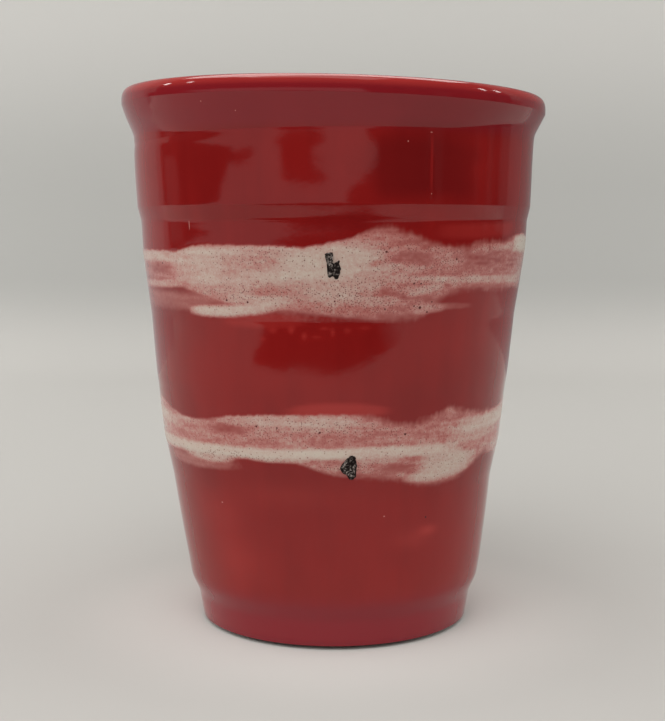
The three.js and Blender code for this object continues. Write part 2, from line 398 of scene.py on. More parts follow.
# %% Set the standing cards
# A place's outline is a list of (height in mm, left edge, right edge in degrees).
ROOM_DISTANCE = 0.45
ROOM_DEGREES = (-113, 111)
ROOM_HEIGHTS = (26, 160)
ROOM_GRID = (300, 120)
DARK_ROOM = 0.05
SOFT_DEGREES = 4.0
SOFT_HEIGHT = 5.0
SPOT_RIM = (0.65, 1.15)
PALE_PLACES = [
    {"brightness": 0.55, "outline": [
        (15, -112, -46), (40, -112, -33), (46, -112, -26), (52, -111, -15), (57, -98, 12), (60, -75, 11),
        (64, -72, 9), (70, -66, 8), (78, -64, 11), (87, -63, 17), (97, -61, 23), (104, -58, 25),
        (109, -56, 23), (112, -55, 21), (118, -57, 19), (126, -66, 18), (150, -84, 15)]},
    {"brightness": 0.30, "outline": [(15, -130, -104), (200, -130, -108)]},
    {"brightness": 0.12, "outline": [(60, -108, -92), (90, -106, -90), (120, -107, -93)]},
    {"brightness": 0.06, "outline": [(60, 48, 61), (200, 48, 61)]},
    {"brightness": 0.04, "outline": [(60, 79, 86), (200, 79, 86)]},
    {"brightness": 0.07, "outline": [(60, 89, 97), (200, 89, 97)]},
    {"brightness": 0.10, "outline": [(60, 100, 120), (200, 100, 120)]},
]
DARK_SPOTS = [
    {"degrees": -17, "level": 113, "half_angle": 14, "half_height": 12},
    {"degrees": -19, "level": 99, "half_angle": 9, "half_height": 14},
    {"degrees": -15, "level": 88, "half_angle": 13, "half_height": 9},
    {"degrees": -53, "level": 104, "half_angle": 13, "half_height": 8},
    {"degrees": -64, "level": 98, "half_angle": 8, "half_height": 18},
]
SIDE_CARDS = [("dull_left", (-172, -113), (0.56, 0.54, 0.49, 0.46, 0.46)),
              ("dull_right", (111, 172), (0.42, 0.34, 0.27, 0.25, 0.24))]
SIDE_HEIGHTS = (0, 15, 40, 120, 400)
SIDE_COLUMNS = 40
print(f"room card: {len(PALE_PLACES)} pale places, {len(DARK_SPOTS)} dark spots")

# %% Write the card makers
def store(piece, name, values):
    """Keeps one number for each vertex, which a finish can read by its name."""
    attribute = piece.data.attributes.new(name, "FLOAT", "POINT")
    attribute.data.foreach_set("value", np.ascontiguousarray(values, np.float32).ravel())


def card(name, points, brightness):
    """A card over a grid of points that the camera doesn't see, with a brightness for each point."""
    made = grid_mesh(name, np.asarray(points, float))
    store(made, "brightness", brightness)
    material, tree = new_material(name)
    inputs = {"Color": LAMP_COLOUR + (1,), "Strength": stored(tree, "brightness")}
    node(tree, "ShaderNodeOutputMaterial", {"Surface": node(tree, "ShaderNodeEmission", inputs)})
    made.data.materials.append(material)
    for ray in ("camera", "transmission", "volume_scatter", "shadow"):
        setattr(made, f"visible_{ray}", False)
    print(f"{name}: {len(made.data.polygons)} faces")
    return made


def flat_card(name, across, front, back, brightness):
    """A card on the floor between a front and a back edge, with a brightness at each of its x values."""
    points = [np.stack(np.broadcast_arrays(across, y, CARD_LEVEL), axis=-1) for y in (front, back)]
    card(name, points, np.tile(brightness, 2))


def round_card(name, angle, height, brightness):
    """A card that stands round the pot at the room's distance, over a grid of angles and heights in mm."""
    x = ROOM_DISTANCE * np.sin(np.radians(angle))
    y = -ROOM_DISTANCE * np.cos(np.radians(angle))
    made = card(name, np.stack(np.broadcast_arrays(x, y, MM * height), axis=-1), brightness)
    made.visible_diffuse = False


print(f"the standing cards are {ROOM_DISTANCE} m from the axis of the pot")

# %% Write the pale places and the dark spots
def pale_place(angle, height, outline, brightness):
    """One pale place: even between left and right edges drawn at a few heights, with a soft rim."""
    at, left, right = np.array(outline, float).T
    left, right = np.interp(height, at, left), np.interp(height, at, right)
    from_left = smooth_step(angle, left, left + SOFT_DEGREES)
    from_right = 1 - smooth_step(angle, right - SOFT_DEGREES, right)
    from_below = smooth_step(height, at[0], at[0] + SOFT_HEIGHT)
    from_above = 1 - smooth_step(height, at[-1] - SOFT_HEIGHT, at[-1])
    return brightness * from_left * from_right * from_below * from_above


def dark_spot(angle, height, degrees, level, half_angle, half_height):
    """What a soft oval spot leaves of the light: nothing in its middle, all of it outside."""
    away = np.hypot((angle - degrees) / half_angle, (height - level) / half_height)
    return smooth_step(away, *SPOT_RIM)


room_middle = (np.mean(ROOM_DEGREES), np.mean(ROOM_HEIGHTS))
print(f"in the middle of the room: brightness {pale_place(*room_middle, **PALE_PLACES[0]):.2f}")

# %% Lay the cards
flat_card("dark_front", TABLE_EDGE_X, -CARD_REACH, TABLE_EDGE_Y, FRONT_BRIGHTNESS)
flat_card("dark_right", [TABLE_RIGHT, 2 * TABLE_RIGHT, CARD_REACH], TABLE_FRONT, TABLE_BACK, RIGHT_BRIGHTNESS)
angle = np.linspace(*ROOM_DEGREES, ROOM_GRID[0])
height = np.linspace(*ROOM_HEIGHTS, ROOM_GRID[1])[:, None]
pale = np.max([pale_place(angle, height, **place) for place in PALE_PLACES], axis=0)
for spot in DARK_SPOTS:
    pale = pale * dark_spot(angle, height, **spot)
round_card("room_card", angle, height, DARK_ROOM + pale)
for name, degrees, brightness in SIDE_CARDS:
    angle = np.linspace(*degrees, SIDE_COLUMNS)
    height = np.array(SIDE_HEIGHTS)[:, None]
    round_card(name, angle, height, np.tile(np.array(brightness)[:, None], SIDE_COLUMNS))

# %% [markdown]
# ## The form
# A potter pulls the wall up between two fingers. It tapers, swells a little, and keeps soft steps where
# the fingers paused. A cove sets off the foot, the top flares, and the lip is rolled over. A drawn curve
# with a Screw modifier could turn it. One formula in millimetres, a radius for each height, serves
# better, because every coat, seam and dab below asks it for its place. Hands aren't machines, so the axis
# bows a little to the left, the lip stands higher on the left, and low waves run over the wall. These
# waves are what make reflections look thrown.

# %% Set the sizes of the form, in millimetres
HEIGHT = 127
LIP_RADIUS = 51.0
LIP_RISE = 2.6
LIP_ROLL = 2.0
LIP_SLOPE = 0.38
LIP_SQUARE_ABOVE = 0.75
LIP_SQUARE_BELOW = 0.15
LIP_TILT = 1.2
FLARE_ROUND = 0.012
FLARE_LEAN = 0.12
FLARE_TUCK = 0.28
TUCK_DEGREES = 62
TUCK_REACH = (5, 34)
FLARE_SOFT = 1.2
NECK_DROP = 8.5
NECK_RADIUS = 48.3
HEEL_RADIUS = 35.75
WALL_BELLY = 1.68
COVE_TOP = 11.3
COVE_BOTTOM = 5.7
FOOT_INSET = 1.17
INNER_FLARE_RISE = 14
RAMP_ROUND = 0.012
BOW_HEIGHTS = [0, 15, 35, 55, 75, 95, 110, 127]
BOW_SHIFTS = [0, 0, -0.55, -0.62, -0.35, -0.08, -0.25, -0.2]
LIP_LEVEL = HEIGHT - LIP_RISE
CREST_RADIUS = LIP_RADIUS - LIP_ROLL
NECK_LEVEL = LIP_LEVEL - NECK_DROP
LIP_TURN = math.atan(LIP_SLOPE * LIP_RISE / LIP_ROLL)
LIP_START = LIP_LEVEL - LIP_RISE * math.sin(LIP_TURN)
print(f"the wall ends and the lip's roll starts {LIP_START:.1f} mm up")

# %% Write the wall
# A throwing ring is (height of its middle, what it adds, the height over which it does so).
THROWING_RINGS = [(40.5, 0.79, 9.6), (59, 0.12, 2.5), (82.8, 1.0, 15.6), (98.7, 0.62, 3.3)]


def rounded_ramp(u, low_round=RAMP_ROUND):
    """0 below u = -1, 1 above u = 1 and straight between, with corners rounded by hyperbolas."""
    return 0.5 + (np.sqrt((u + 1) ** 2 + low_round ** 2) - np.sqrt((u - 1) ** 2 + RAMP_ROUND ** 2)) / 4


def wall_radius(z):
    """Taper from heel to neck, a belly of 4u(1-u) over it, and one rounded ramp for each throwing ring."""
    u = (z - COVE_TOP) / (NECK_LEVEL - COVE_TOP)
    in_all = sum(rise for middle, rise, width in THROWING_RINGS)
    radius = HEEL_RADIUS + (NECK_RADIUS - in_all - HEEL_RADIUS) * u + WALL_BELLY * 4 * u * (1 - u)
    for middle, rise, width in THROWING_RINGS:
        radius = radius + rise * rounded_ramp((z - middle) / (width / 2))
    return radius


print(f"radius at heel {wall_radius(COVE_TOP):.2f} mm, at neck {wall_radius(NECK_LEVEL):.2f} mm")

# %% Write what the hand left
# A wave is (its height, waves round the pot, height from one to the next, seed).
WAVES = [(0.045, 9, 21, 3), (0.025, 15, 9, 4), (0.012, 40, 4.2, 5)]
WAVES_START = (4, 20)
WAVES_END = (112, 122)
HOLLOW_ROUND = 0.4
HOLLOW_DEGREES = 11
HOLLOW_REACH = (9, 27)
GROOVE = 0.5
GROOVE_LEVEL = 117
GROOVE_REACH = 2.6
GROOVE_SIDE = (0.3, 1)


def ring_hollow(theta, z):
    """What a softer lower corner adds to the top ring in front: the ramp with it less the sharp ramp."""
    middle, rise, width = THROWING_RINGS[-1]
    u = (z - middle) / (width / 2)
    share = 1 - smooth_step(np.degrees(np.abs(turned_from(theta, HOLLOW_DEGREES))), *HOLLOW_REACH)
    return share * rise * (rounded_ramp(u, HOLLOW_ROUND) - rounded_ramp(u))


def hand_waves(theta, z):
    """How far the wall strays: low waves, plus the hollow under the top ring, less a groove at the left."""
    waves = layered_noise(theta, z, WAVES) * smooth_step(z, *WAVES_START) * (1 - smooth_step(z, *WAVES_END))
    at_left = smooth_step(-np.sin(theta), *GROOVE_SIDE)
    groove = GROOVE * at_left * bell((z - GROOVE_LEVEL) / GROOVE_REACH)
    return waves + ring_hollow(theta, z) - groove


print(f"the groove is {-hand_waves(-math.pi / 2, GROOVE_LEVEL):.2f} mm deep at the left")

# %% Write the drip
DRIP_DEGREES = 25.7
DRIP_HEIGHTS = (102.6, 114)
DRIP_HALF_WIDTH = 0.45
DRIP_PROUD = 0.07
DRIP_BEAD = 0.8
DRIP_SOFT = 1
DRIP_FADE = 6
BEAD_PROUD = 1.6
BEAD_STRETCH = 1.4


def drip(theta, z):
    """A run of glaze that stopped on the neck: a low upright ridge, a bell across, with a bead at its end."""
    beside = turned_from(theta, DRIP_DEGREES) * NECK_RADIUS
    low, high = DRIP_HEIGHTS
    along = smooth_step(z, low - DRIP_SOFT, low + DRIP_SOFT) * (1 - smooth_step(z, low + DRIP_FADE, high))
    ridge = bell(beside / DRIP_HALF_WIDTH) * along
    bead = BEAD_PROUD * bell(np.hypot(beside, (z - low) / BEAD_STRETCH) / DRIP_BEAD)
    return DRIP_PROUD * (ridge + bead)


print(f"the drip's bead stands {drip(math.radians(DRIP_DEGREES), DRIP_HEIGHTS[0]):.2f} mm proud")

# %% [markdown]
# ## From the formula to points
# A point of the outside is named by its angle from the front and by how far it has climbed. Up to where
# the lip's roll starts, the climb is the height. Above it, the climb turns over the ellipse of the rolled
# lip, from its slanted underside to its crest. The flare is a short cone with that same slant. Its foot
# is nearly sharp, and softer on the right. A depth sinks a point under the glaze's surface, which gives
# each coat of glaze its thickness. The surface could be carved from a plain turned one, but points from a
# formula can be asked for anywhere and at any fineness.

# %% Write the lip and the flare
FLARE_SOFT_SIDE = (0.6, 0.95)


def lip_roll(over):
    """How far the lip stands out at an angle over its roll: a squarer cosine, and nearly upright below."""
    return np.cos(over) ** np.where(over < 0, LIP_SQUARE_BELOW, LIP_SQUARE_ABOVE)


def flare_reach(theta):
    """What the flare gains at its top, and how far it runs down: further at the left, less at the right."""
    wall_slope = wall_radius(LIP_START + 0.5) - wall_radius(LIP_START - 0.5)
    gain = CREST_RADIUS + LIP_ROLL * lip_roll(-LIP_TURN) - wall_radius(LIP_START)
    tuck = 1 - smooth_step(np.degrees(np.abs(turned_from(theta, TUCK_DEGREES))), *TUCK_REACH)
    shorter = FLARE_LEAN * np.sin(theta) + FLARE_TUCK * tuck
    return gain, gain / (LIP_SLOPE - wall_slope) * (1 - shorter)


def flare(theta, z):
    """What the flare adds to the wall: a straight cone whose foot is rounded by a hyperbola."""
    gain, reach = flare_reach(theta)
    soft = FLARE_ROUND + FLARE_SOFT * smooth_step(np.sin(theta), *FLARE_SOFT_SIDE)
    above = z - LIP_START + reach - soft ** 2 / (4 * reach)
    return gain / reach * (above + np.sqrt(above ** 2 + soft ** 2)) / 2


print(f"the flare runs {flare_reach(0.0)[1]:.1f} mm down in front")

# %% Put points on the pot
# The roll stops a hair short of upright, where rounding could make the cosine negative and its power invalid.
CREST_SHORT = 1e-6


def on_wheel(theta, radius, z):
    """Points at an angle from the front (towards +X), with the pot's bow to one side and its uneven lip."""
    x = radius * np.sin(theta)
    y = -radius * np.cos(theta)
    tilt = -LIP_TILT * x / LIP_RADIUS * smooth_step(z, LIP_LEVEL - INNER_FLARE_RISE, LIP_LEVEL)
    bow = np.interp(z, BOW_HEIGHTS, BOW_SHIFTS)
    return np.stack(np.broadcast_arrays(x + bow, y, z + tilt), axis=-1)


def outside(theta, climb, depth=0.0):
    """Points of the outside: the wall with its cove and flare, then the lip's ellipse up to its crest."""
    z = np.minimum(climb, LIP_START)
    inset = FOOT_INSET * (1 - smooth_step(z, COVE_BOTTOM, COVE_TOP))
    wall = wall_radius(z) + flare(theta, z) - inset + hand_waves(theta, z) + drip(theta, z) - depth
    over = np.clip((climb - LIP_START) / (HEIGHT - LIP_START), 0, 1) * (LIP_TURN + math.pi / 2) - LIP_TURN
    over = np.minimum(over, math.pi / 2 - CREST_SHORT)
    rolled = climb > LIP_START
    radius = np.where(rolled, CREST_RADIUS + (LIP_ROLL - depth) * lip_roll(over), wall)
    return on_wheel(theta, radius, np.where(rolled, LIP_LEVEL + (LIP_RISE - depth) * np.sin(over), z))


print("lip:", outside(0.0, np.array(LIP_START)).round(2), "crest:", outside(0.0, np.array(HEIGHT)).round(2))

# %% [markdown]
# ## Meshes that close
# Each coat of glaze is a skin that closes on itself, like a flattened tyre: rows go up its outer face,
# over the edge, down its inner face and back. A turned solid instead starts and ends in a point on the
# axis. A Solidify modifier could thicken an open skin, but a grid that closes has even edges and needs no
# modifier. Both are grids of points, so their faces are worked out as whole arrays. The volume's sign
# tells if the faces point outwards.

# %% Write the mesh makers
SHARP_TURN = math.radians(60)


def signed_volume(points, faces):
    """Six times the volume inside four-sided faces, as the sum of their two triangles' triple products."""
    a, b, c, d = (points[faces[:, k]] for k in range(4))
    return np.einsum("ij,ij->", a, np.cross(b, c)) + np.einsum("ij,ij->", a, np.cross(c, d))


def piece_from(name, points, faces, corner_faces=()):
    """An object at the origin from points in mm, four-sided faces and three-sided ones at the poles."""
    faces = np.asarray(faces)
    corner_faces = np.asarray(corner_faces, int).reshape(-1, 3)
    if signed_volume(points, faces) < 0:
        faces, corner_faces = faces[:, ::-1], corner_faces[:, ::-1]
    mesh = bpy.data.meshes.new(name)
    mesh.from_pydata((points * MM).tolist(), [], faces.tolist() + corner_faces.tolist())
    mesh.shade_smooth()
    return add_object(name, mesh)


def tyre(name, points):
    """A closed skin from a grid whose rows and columns both run round to their start, with sharp edges."""
    rows, columns = points.shape[:2]
    index = np.arange(rows * columns).reshape(rows, columns)
    beside, above = np.roll(index, -1, axis=1), np.roll(index, -1, axis=0)
    faces = np.stack([index, beside, np.roll(above, -1, axis=1), above], axis=-1).reshape(-1, 4)
    made = piece_from(name, points.reshape(-1, 3), faces)
    made.data.set_sharp_from_angle(angle=SHARP_TURN)
    return made


def turned(name, points):
    """A closed solid from a grid whose first and last rows lie on the axis: a fan of faces meets there."""
    rings = points[1:-1]
    rows, columns = rings.shape[:2]
    index = np.arange(rows * columns).reshape(rows, columns)
    beside = np.roll(index, -1, axis=1)
    faces = np.stack([index[:-1], beside[:-1], beside[1:], index[1:]], axis=-1).reshape(-1, 4)
    first, last = rows * columns, rows * columns + 1
    fans = [np.stack([np.full(columns, first), beside[0], index[0]], axis=-1),
            np.stack([np.full(columns, last), index[-1], beside[-1]], axis=-1)]
    vertices = np.concatenate([rings.reshape(-1, 3), points[:1, 0], points[-1:, 0]])
    return piece_from(name, vertices, faces, np.concatenate(fans))


print(f"edges that turn by more than {math.degrees(SHARP_TURN):.0f} degrees are shaded sharp")

# %% Write how a piece is dressed
def dress(piece, node_name, material):
    """Gives a piece its material, hangs it on the root body and hides the CAD node that it stands for."""
    piece.data.materials.append(material)
    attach(piece, "root")
    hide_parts(node_name)
    print(f"{piece.name}: {len(piece.data.vertices)} points")


print(f"{len(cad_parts)} CAD nodes to dress")

# %% [markdown]
# ## White bands
# The potter went round the turning pot with a wide, half-dry brush. Each band has a thin wash between two
# straying edges, thick strokes over it, and places wiped thin where the red comes through. A picture of
# the bands would be stuck to one pot. Strokes are the better way, because they are what the hand did:
# each one starts and ends at an angle, and has three heights, three half widths and three loads of glaze,
# at its start, middle and end. Mists and wipes have the same form. A mist tells where specks are thick,
# and a wipe takes white off.

# %% Describe the upper band
UPPER_BAND = {
    "wash": 0.22,
    "search": (70, 102),
    "top": [(-180, 91.6), (-140, 90.4), (-105, 91), (-80, 90.8), (-56, 90.3), (-49, 90.4), (-42, 91.5),
            (-26, 91.7), (-14, 91.5), (-8, 91.2), (-2, 92.1), (4, 93.2), (9, 94.9), (15, 95.4), (20, 94.2),
            (25, 92.7), (31, 91.5), (40, 91.5), (46, 92.3), (56, 92.2), (62, 93.4), (70, 94.2), (80, 93.2),
            (105, 91.2), (130, 90.8), (155, 92)],
    "bottom": [(-180, 78.4), (-140, 77.8), (-105, 80.2), (-80, 81.6), (-60, 81.8), (-47, 82), (-40, 80.9),
               (-33, 79.6), (-26, 78.2), (-17, 78.2), (-8, 77.4), (0, 76.6), (10, 76.1), (20, 76.2),
               (26, 76.8), (29, 78.6), (32, 80.6), (38, 82), (46, 82.3), (56, 82), (68, 81.6), (85, 80.6),
               (115, 79), (150, 77.6)],
    "strokes": [
        (-50, 24, (86.5, 84.8, 84.2), (5.2, 7.2, 7.0), (0.36, 0.42, 0.30)),
        (-18, 14, (87.6, 88.0, 88.2), (2.4, 3.6, 2.8), (0.25, 0.55, 0.30)),
        (-35, -10, (80.2, 80.0, 79.6), (0.8, 1.3, 1.0), (0.15, 0.45, 0.30)),
        (-150, -38, (89.0, 88.9, 89.4), (1.3, 1.4, 1.4), (0.50, 0.62, 0.55)),
        (-54, -28, (87.0, 87.0, 87.0), (3.6, 4.4, 3.8), (0.30, 0.42, 0.15)),
        (-48, -2, (90.4, 90.5, 90.4), (1.0, 1.1, 1.0), (0.35, 0.35, 0.20)),
        (-82, -44, (82.6, 82.7, 83.6), (0.9, 0.9, 1.1), (0.12, 0.32, 0.38)),
        (-30, 6, (85.0, 85.3, 85.2), (0.8, 0.9, 0.8), (0.20, 0.35, 0.28)),
        (-58, 14, (83.6, 83.9, 83.6), (1.0, 1.0, 1.0), (0.20, 0.22, 0.15)),
        (-9, 10, (81.3, 81.4, 81.4), (1.2, 1.9, 1.4), (0.20, 0.34, 0.10)),
        (-47, -12, (77.3, 77.4, 79.0), (0.9, 1.35, 0.8), (0.66, 0.76, 0.40)),
        (10, 80, (84.3, 84.0, 83.5), (1.0, 0.9, 1.1), (0.25, 0.40, 0.30)),
        (19, 33, (81.2, 82.0, 83.0), (0.9, 1.0, 0.7), (0.20, 0.35, 0.20)),
        (20, 34, (77.9, 77.9, 78.1), (0.9, 1.1, 0.7), (0.15, 0.30, 0.12)),
        (28, 45, (78.4, 78.3, 78.2), (0.9, 0.7, 0.4), (0.16, 0.10, 0.04)),
        (-4, 18, (91.0, 91.6, 90.4), (1.2, 2.0, 1.4), (0.30, 0.26, 0.05)),
        (37, 66, (91.2, 91.1, 91.6), (0.8, 0.9, 1.0), (0.12, 0.26, 0.35)),
        (57, 140, (91.8, 91.3, 89.6), (1.7, 2.2, 1.3), (0.50, 0.85, 0.60)),
        (24, 40, (88.6, 88.6, 88.6), (2.6, 3.0, 2.4), (0.08, 0.18, 0.05)),
        (9, 27, (87.0, 86.8, 86.6), (1.2, 1.5, 1.2), (0.12, 0.26, 0.12)),
        (58, 84, (84.0, 84.0, 84.0), (1.4, 1.6, 1.4), (0.15, 0.30, 0.20)),
        (56, 150, (87.4, 86.4, 84.8), (2.4, 2.6, 2.6), (0.15, 0.35, 0.30)),
        (60, 88, (92.0, 91.9, 91.6), (1.6, 2.3, 1.8), (0.50, 0.92, 0.50)),
        (128, 236, (88.4, 89.4, 88.8), (1.6, 1.5, 1.1), (0.50, 0.65, 0.45)),
        (140, 232, (81.4, 80.6, 82.0), (1.1, 1.6, 1.0), (0.40, 0.60, 0.30)),
        (120, 250, (85.0, 84.6, 85.4), (3.5, 4.0, 3.5), (0.15, 0.25, 0.15)),
        (-84, -30, (79.6, 79.2, 78.8), (2.4, 2.2, 1.5), (0.06, 0.16, 0.12)),
    ],
    "mists": [
        (-14, 30, (80.6, 80.2, 80.0), (3.0, 4.2, 3.2), (0.50, 0.85, 0.50)),
        (6, 60, (89.8, 89.2, 88.4), (3.4, 4.8, 3.4), (0.50, 0.95, 0.60)),
        (8, 46, (82.6, 82.2, 82.4), (2.4, 3.2, 2.0), (0.40, 0.80, 0.45)),
        (-42, -8, (81.2, 81.4, 81.6), (1.6, 2.2, 2.0), (0.30, 0.60, 0.50)),
        (-36, 0, (88.6, 89.2, 89.0), (1.6, 2.4, 2.2), (0.20, 0.40, 0.25)),
        (26, 50, (78.6, 78.6, 78.6), (1.2, 1.2, 1.0), (0.60, 0.60, 0.30)),
    ],
    "wipes": [
        (-70, -46, (86.2, 86.0, 85.8), (0.9, 1.3, 1.0), (0.20, 0.35, 0.25)),
        (12, 30, (90.0, 88.6, 88.8), (1.2, 1.4, 1.2), (0.15, 0.35, 0.15)),
        (-26, -10, (81.6, 81.6, 82.0), (0.7, 1.0, 0.8), (0.15, 0.30, 0.15)),
        (10, 19, (81.8, 81.7, 81.6), (0.8, 1.1, 0.8), (0.15, 0.40, 0.20)),
        (34, 60, (87.8, 87.6, 87.4), (1.5, 1.7, 1.4), (0.10, 0.22, 0.12)),
    ],
}
print(f"upper band: {len(UPPER_BAND['strokes'])} strokes, {len(UPPER_BAND['wipes'])} wiped places")

# %% Describe the lower band
LOWER_BAND = {
    "wash": 0.30,
    "search": (33, 62),
    "top": [(-180, 54.2), (-145, 53.2), (-110, 54.8), (-80, 56), (-70, 55.2), (-62, 53.7), (-55, 52.7),
            (-44, 52.6), (-36, 53.5), (-26, 54.3), (-18, 54.8), (-8, 55), (6, 55), (12, 54.5), (16, 53.4),
            (24, 52.3), (30, 53), (34, 54), (38, 55.2), (43, 54.5), (50, 53.6), (58, 53.2), (66, 53.6),
            (78, 55), (100, 54.6), (140, 53)],
    "bottom": [(-180, 41.6), (-140, 42.6), (-105, 41), (-80, 42.8), (-68, 44), (-56, 44.2), (-49, 43.6),
               (-42, 42.6), (-36, 43), (-30, 44.3), (-20, 44), (-11, 44), (-6, 42.8), (0, 41.4), (6, 40.9),
               (16, 40.7), (22, 40.2), (28, 39), (35, 38.4), (42, 38.9), (49, 40), (54, 41.8), (58, 43.3),
               (64, 43), (80, 40.4), (105, 41), (140, 42.8)],
    "strokes": [
        (-150, 22, (46.0, 45.6, 46.4), (1.35, 1.35, 1.30), (0.64, 0.76, 0.78)),
        (-14, 48, (46.2, 46.3, 46.0), (1.2, 1.45, 1.4), (0.50, 0.66, 0.60)),
        (-58, -29, (44.9, 44.1, 44.9), (1.1, 1.5, 0.8), (0.30, 0.60, 0.20)),
        (-28, -6, (44.9, 44.7, 44.8), (0.8, 0.8, 0.7), (0.15, 0.35, 0.15)),
        (-140, -50, (52.4, 51.9, 51.2), (1.6, 1.9, 1.4), (0.40, 0.64, 0.35)),
        (-140, -56, (49.0, 49.5, 49.6), (2.8, 2.8, 2.2), (0.20, 0.32, 0.15)),
        (-44, 13, (52.8, 53.4, 53.4), (1.0, 1.3, 1.2), (0.12, 0.46, 0.30)),
        (-28, 10, (51.9, 52.0, 51.8), (1.0, 1.2, 1.0), (0.10, 0.28, 0.12)),
        (-62, -42, (51.6, 51.6, 51.6), (0.8, 0.9, 0.8), (0.10, 0.18, 0.05)),
        (31, 115, (50.6, 51.2, 51.4), (1.5, 2.0, 1.6), (0.30, 0.72, 0.50)),
        (34, 72, (48.6, 48.8, 48.6), (1.8, 2.0, 1.6), (0.20, 0.40, 0.12)),
        (25, 57, (42.2, 42.8, 44.0), (2.2, 3.1, 1.6), (0.35, 0.70, 0.30)),
        (21, 52, (40.3, 39.7, 41.2), (0.8, 1.1, 0.8), (0.25, 0.45, 0.25)),
        (55, 140, (44.4, 43.6, 44.2), (1.3, 1.6, 1.2), (0.30, 0.45, 0.35)),
        (6, 23, (44.5, 44.6, 44.7), (0.8, 0.9, 0.7), (0.20, 0.36, 0.15)),
        (-95, -48, (44.4, 44.6, 44.6), (0.9, 0.9, 0.7), (0.30, 0.36, 0.20)),
        (-74, -28, (43.0, 42.2, 42.8), (1.3, 1.5, 1.0), (0.10, 0.18, 0.10)),
        (130, 230, (50.2, 51.4, 50.6), (1.3, 1.7, 1.2), (0.45, 0.62, 0.40)),
        (126, 236, (45.0, 44.2, 45.6), (1.1, 1.5, 1.1), (0.40, 0.65, 0.45)),
        (120, 240, (47.6, 48.0, 47.8), (2.4, 2.6, 2.2), (0.10, 0.20, 0.10)),
    ],
    "mists": [
        (-46, 34, (50.6, 51.2, 50.6), (2.0, 3.0, 2.2), (0.20, 0.50, 0.35)),
        (-12, 34, (43.4, 42.8, 42.2), (1.4, 1.8, 1.6), (0.30, 0.60, 0.30)),
        (-52, -12, (44.6, 44.4, 44.8), (1.0, 1.4, 1.0), (0.30, 0.50, 0.20)),
    ],
    "wipes": [
        (12, 30, (42.8, 42.5, 42.0), (0.9, 1.3, 0.9), (0.20, 0.50, 0.25)),
        (-42, -25, (51.2, 51.0, 50.8), (0.8, 1.1, 0.8), (0.20, 0.45, 0.20)),
        (44, 58, (45.6, 45.2, 44.8), (0.5, 0.7, 0.5), (0.15, 0.40, 0.20)),
    ],
}
print(f"lower band: {len(LOWER_BAND['strokes'])} strokes, {len(LOWER_BAND['wipes'])} wiped places")

# %% [markdown]
# ## Laying the white
# Cover is a number from 0, bare red, to 1, thick white. The wash gives some inside its edges, each stroke
# covers part of what is still bare, and each wiped place takes some off. Noise frays the edges and
# streaks the wash along the brush's way. The top edge is crisp, and ragged where the brush ran dry. A
# second number tells how thickly the white is peppered with specks of red. Strokes could be painted by
# hand in Texture Paint, but numbers can be worked out at every point, and stay sharp from close by.

# %% Set how the brush frays
# A noise is (weight, cells round the pot, cell height in mm, seed).
FRAY_NOISE = [(0.55, 240, 1.2, 11), (0.45, 520, 0.55, 12)]
STREAK_NOISE = [(0.4, 34, 1.1, 13), (0.25, 60, 0.5, 14), (0.35, 130, 0.7, 15), (0.3, 260, 0.5, 16)]
SPIKE_NOISE = [(0.3, 640, 1.6, 17), (0.35, 210, 1.2, 18)]
THINNEST_STROKE = 0.05
STROKE_RIM = (0.4, 1.3)
STROKE_TIP = 0.2
SIDE_FRAY = 0.12
TIP_FRAY = 0.05
RAGGED_START = (4, 16)
RAGGED_END = (58, 68)
CALM_SPIKES = 0.4
BOTTOM_SPIKES = 0.6
TOP_FRAY = 0.12
BOTTOM_FRAY = 0.15
TOP_RIM = (-0.25, 0.45)
TOP_SPREAD = (0.9, 0.9)
BOTTOM_RIM = (-0.4, 0.6)
BOTTOM_SPREAD = (1.1, 0.9)
WASH_STREAK = 0.1
STROKE_STREAK = 0.5
COVER_STREAK = 0.55
SPECKS_ALL_OVER = 0.12
SPECK_STREAK = 0.1
MIST_FRAY = 2
print(f"the brush ran dry from {RAGGED_START[0]} to {RAGGED_END[1]} degrees right of the front")

# %% Write one stroke
def through_three(u, values):
    """The parabola through a start, middle and end value, at the share u of the way."""
    start, middle, end = values
    return start * (1 - u) * (1 - 2 * u) + middle * 4 * u * (1 - u) + end * u * (2 * u - 1)


def stroke_cover(theta, z, stroke, fray):
    """A ribbon round its curved middle line: full inside, eased off at its sides and tips, times its load."""
    start, end, heights, half_widths, loads = stroke
    u = (np.degrees(theta) - start) % 360 / (end - start)
    on = u <= 1
    u = np.clip(u, 0, 1)
    half_width = np.maximum(through_three(u, half_widths), THINNEST_STROKE)
    across = np.abs(z - through_three(u, heights)) / half_width
    body = 1 - smooth_step(across + SIDE_FRAY * fray, *STROKE_RIM)
    first_tip = smooth_step(u + TIP_FRAY * fray, 0, STROKE_TIP)
    last_tip = smooth_step(1 - u + TIP_FRAY * fray, 0, STROKE_TIP)
    return on * body * (first_tip * last_tip) * np.clip(through_three(u, loads), 0, 1)


first_stroke = UPPER_BAND["strokes"][0]
print(f"cover of the first stroke in front: {stroke_cover(0.0, first_stroke[2][1], first_stroke, 0):.2f}")

# %% Lay the strokes and the specks
def brush_noise(theta, z):
    """Two noises of the brush: a fine even fray, and streaks that are longer round the pot than up it."""
    return layered_noise(theta, z, FRAY_NOISE), layered_noise(theta, z, STREAK_NOISE)


def band_edge(inward, rim, spread, ragged):
    """0 outside an edge and 1 inside it, eased over a rim that spreads where the brush ran dry."""
    return smooth_step(inward, rim[0] - spread[0] * ragged, rim[1] + spread[1] * ragged)


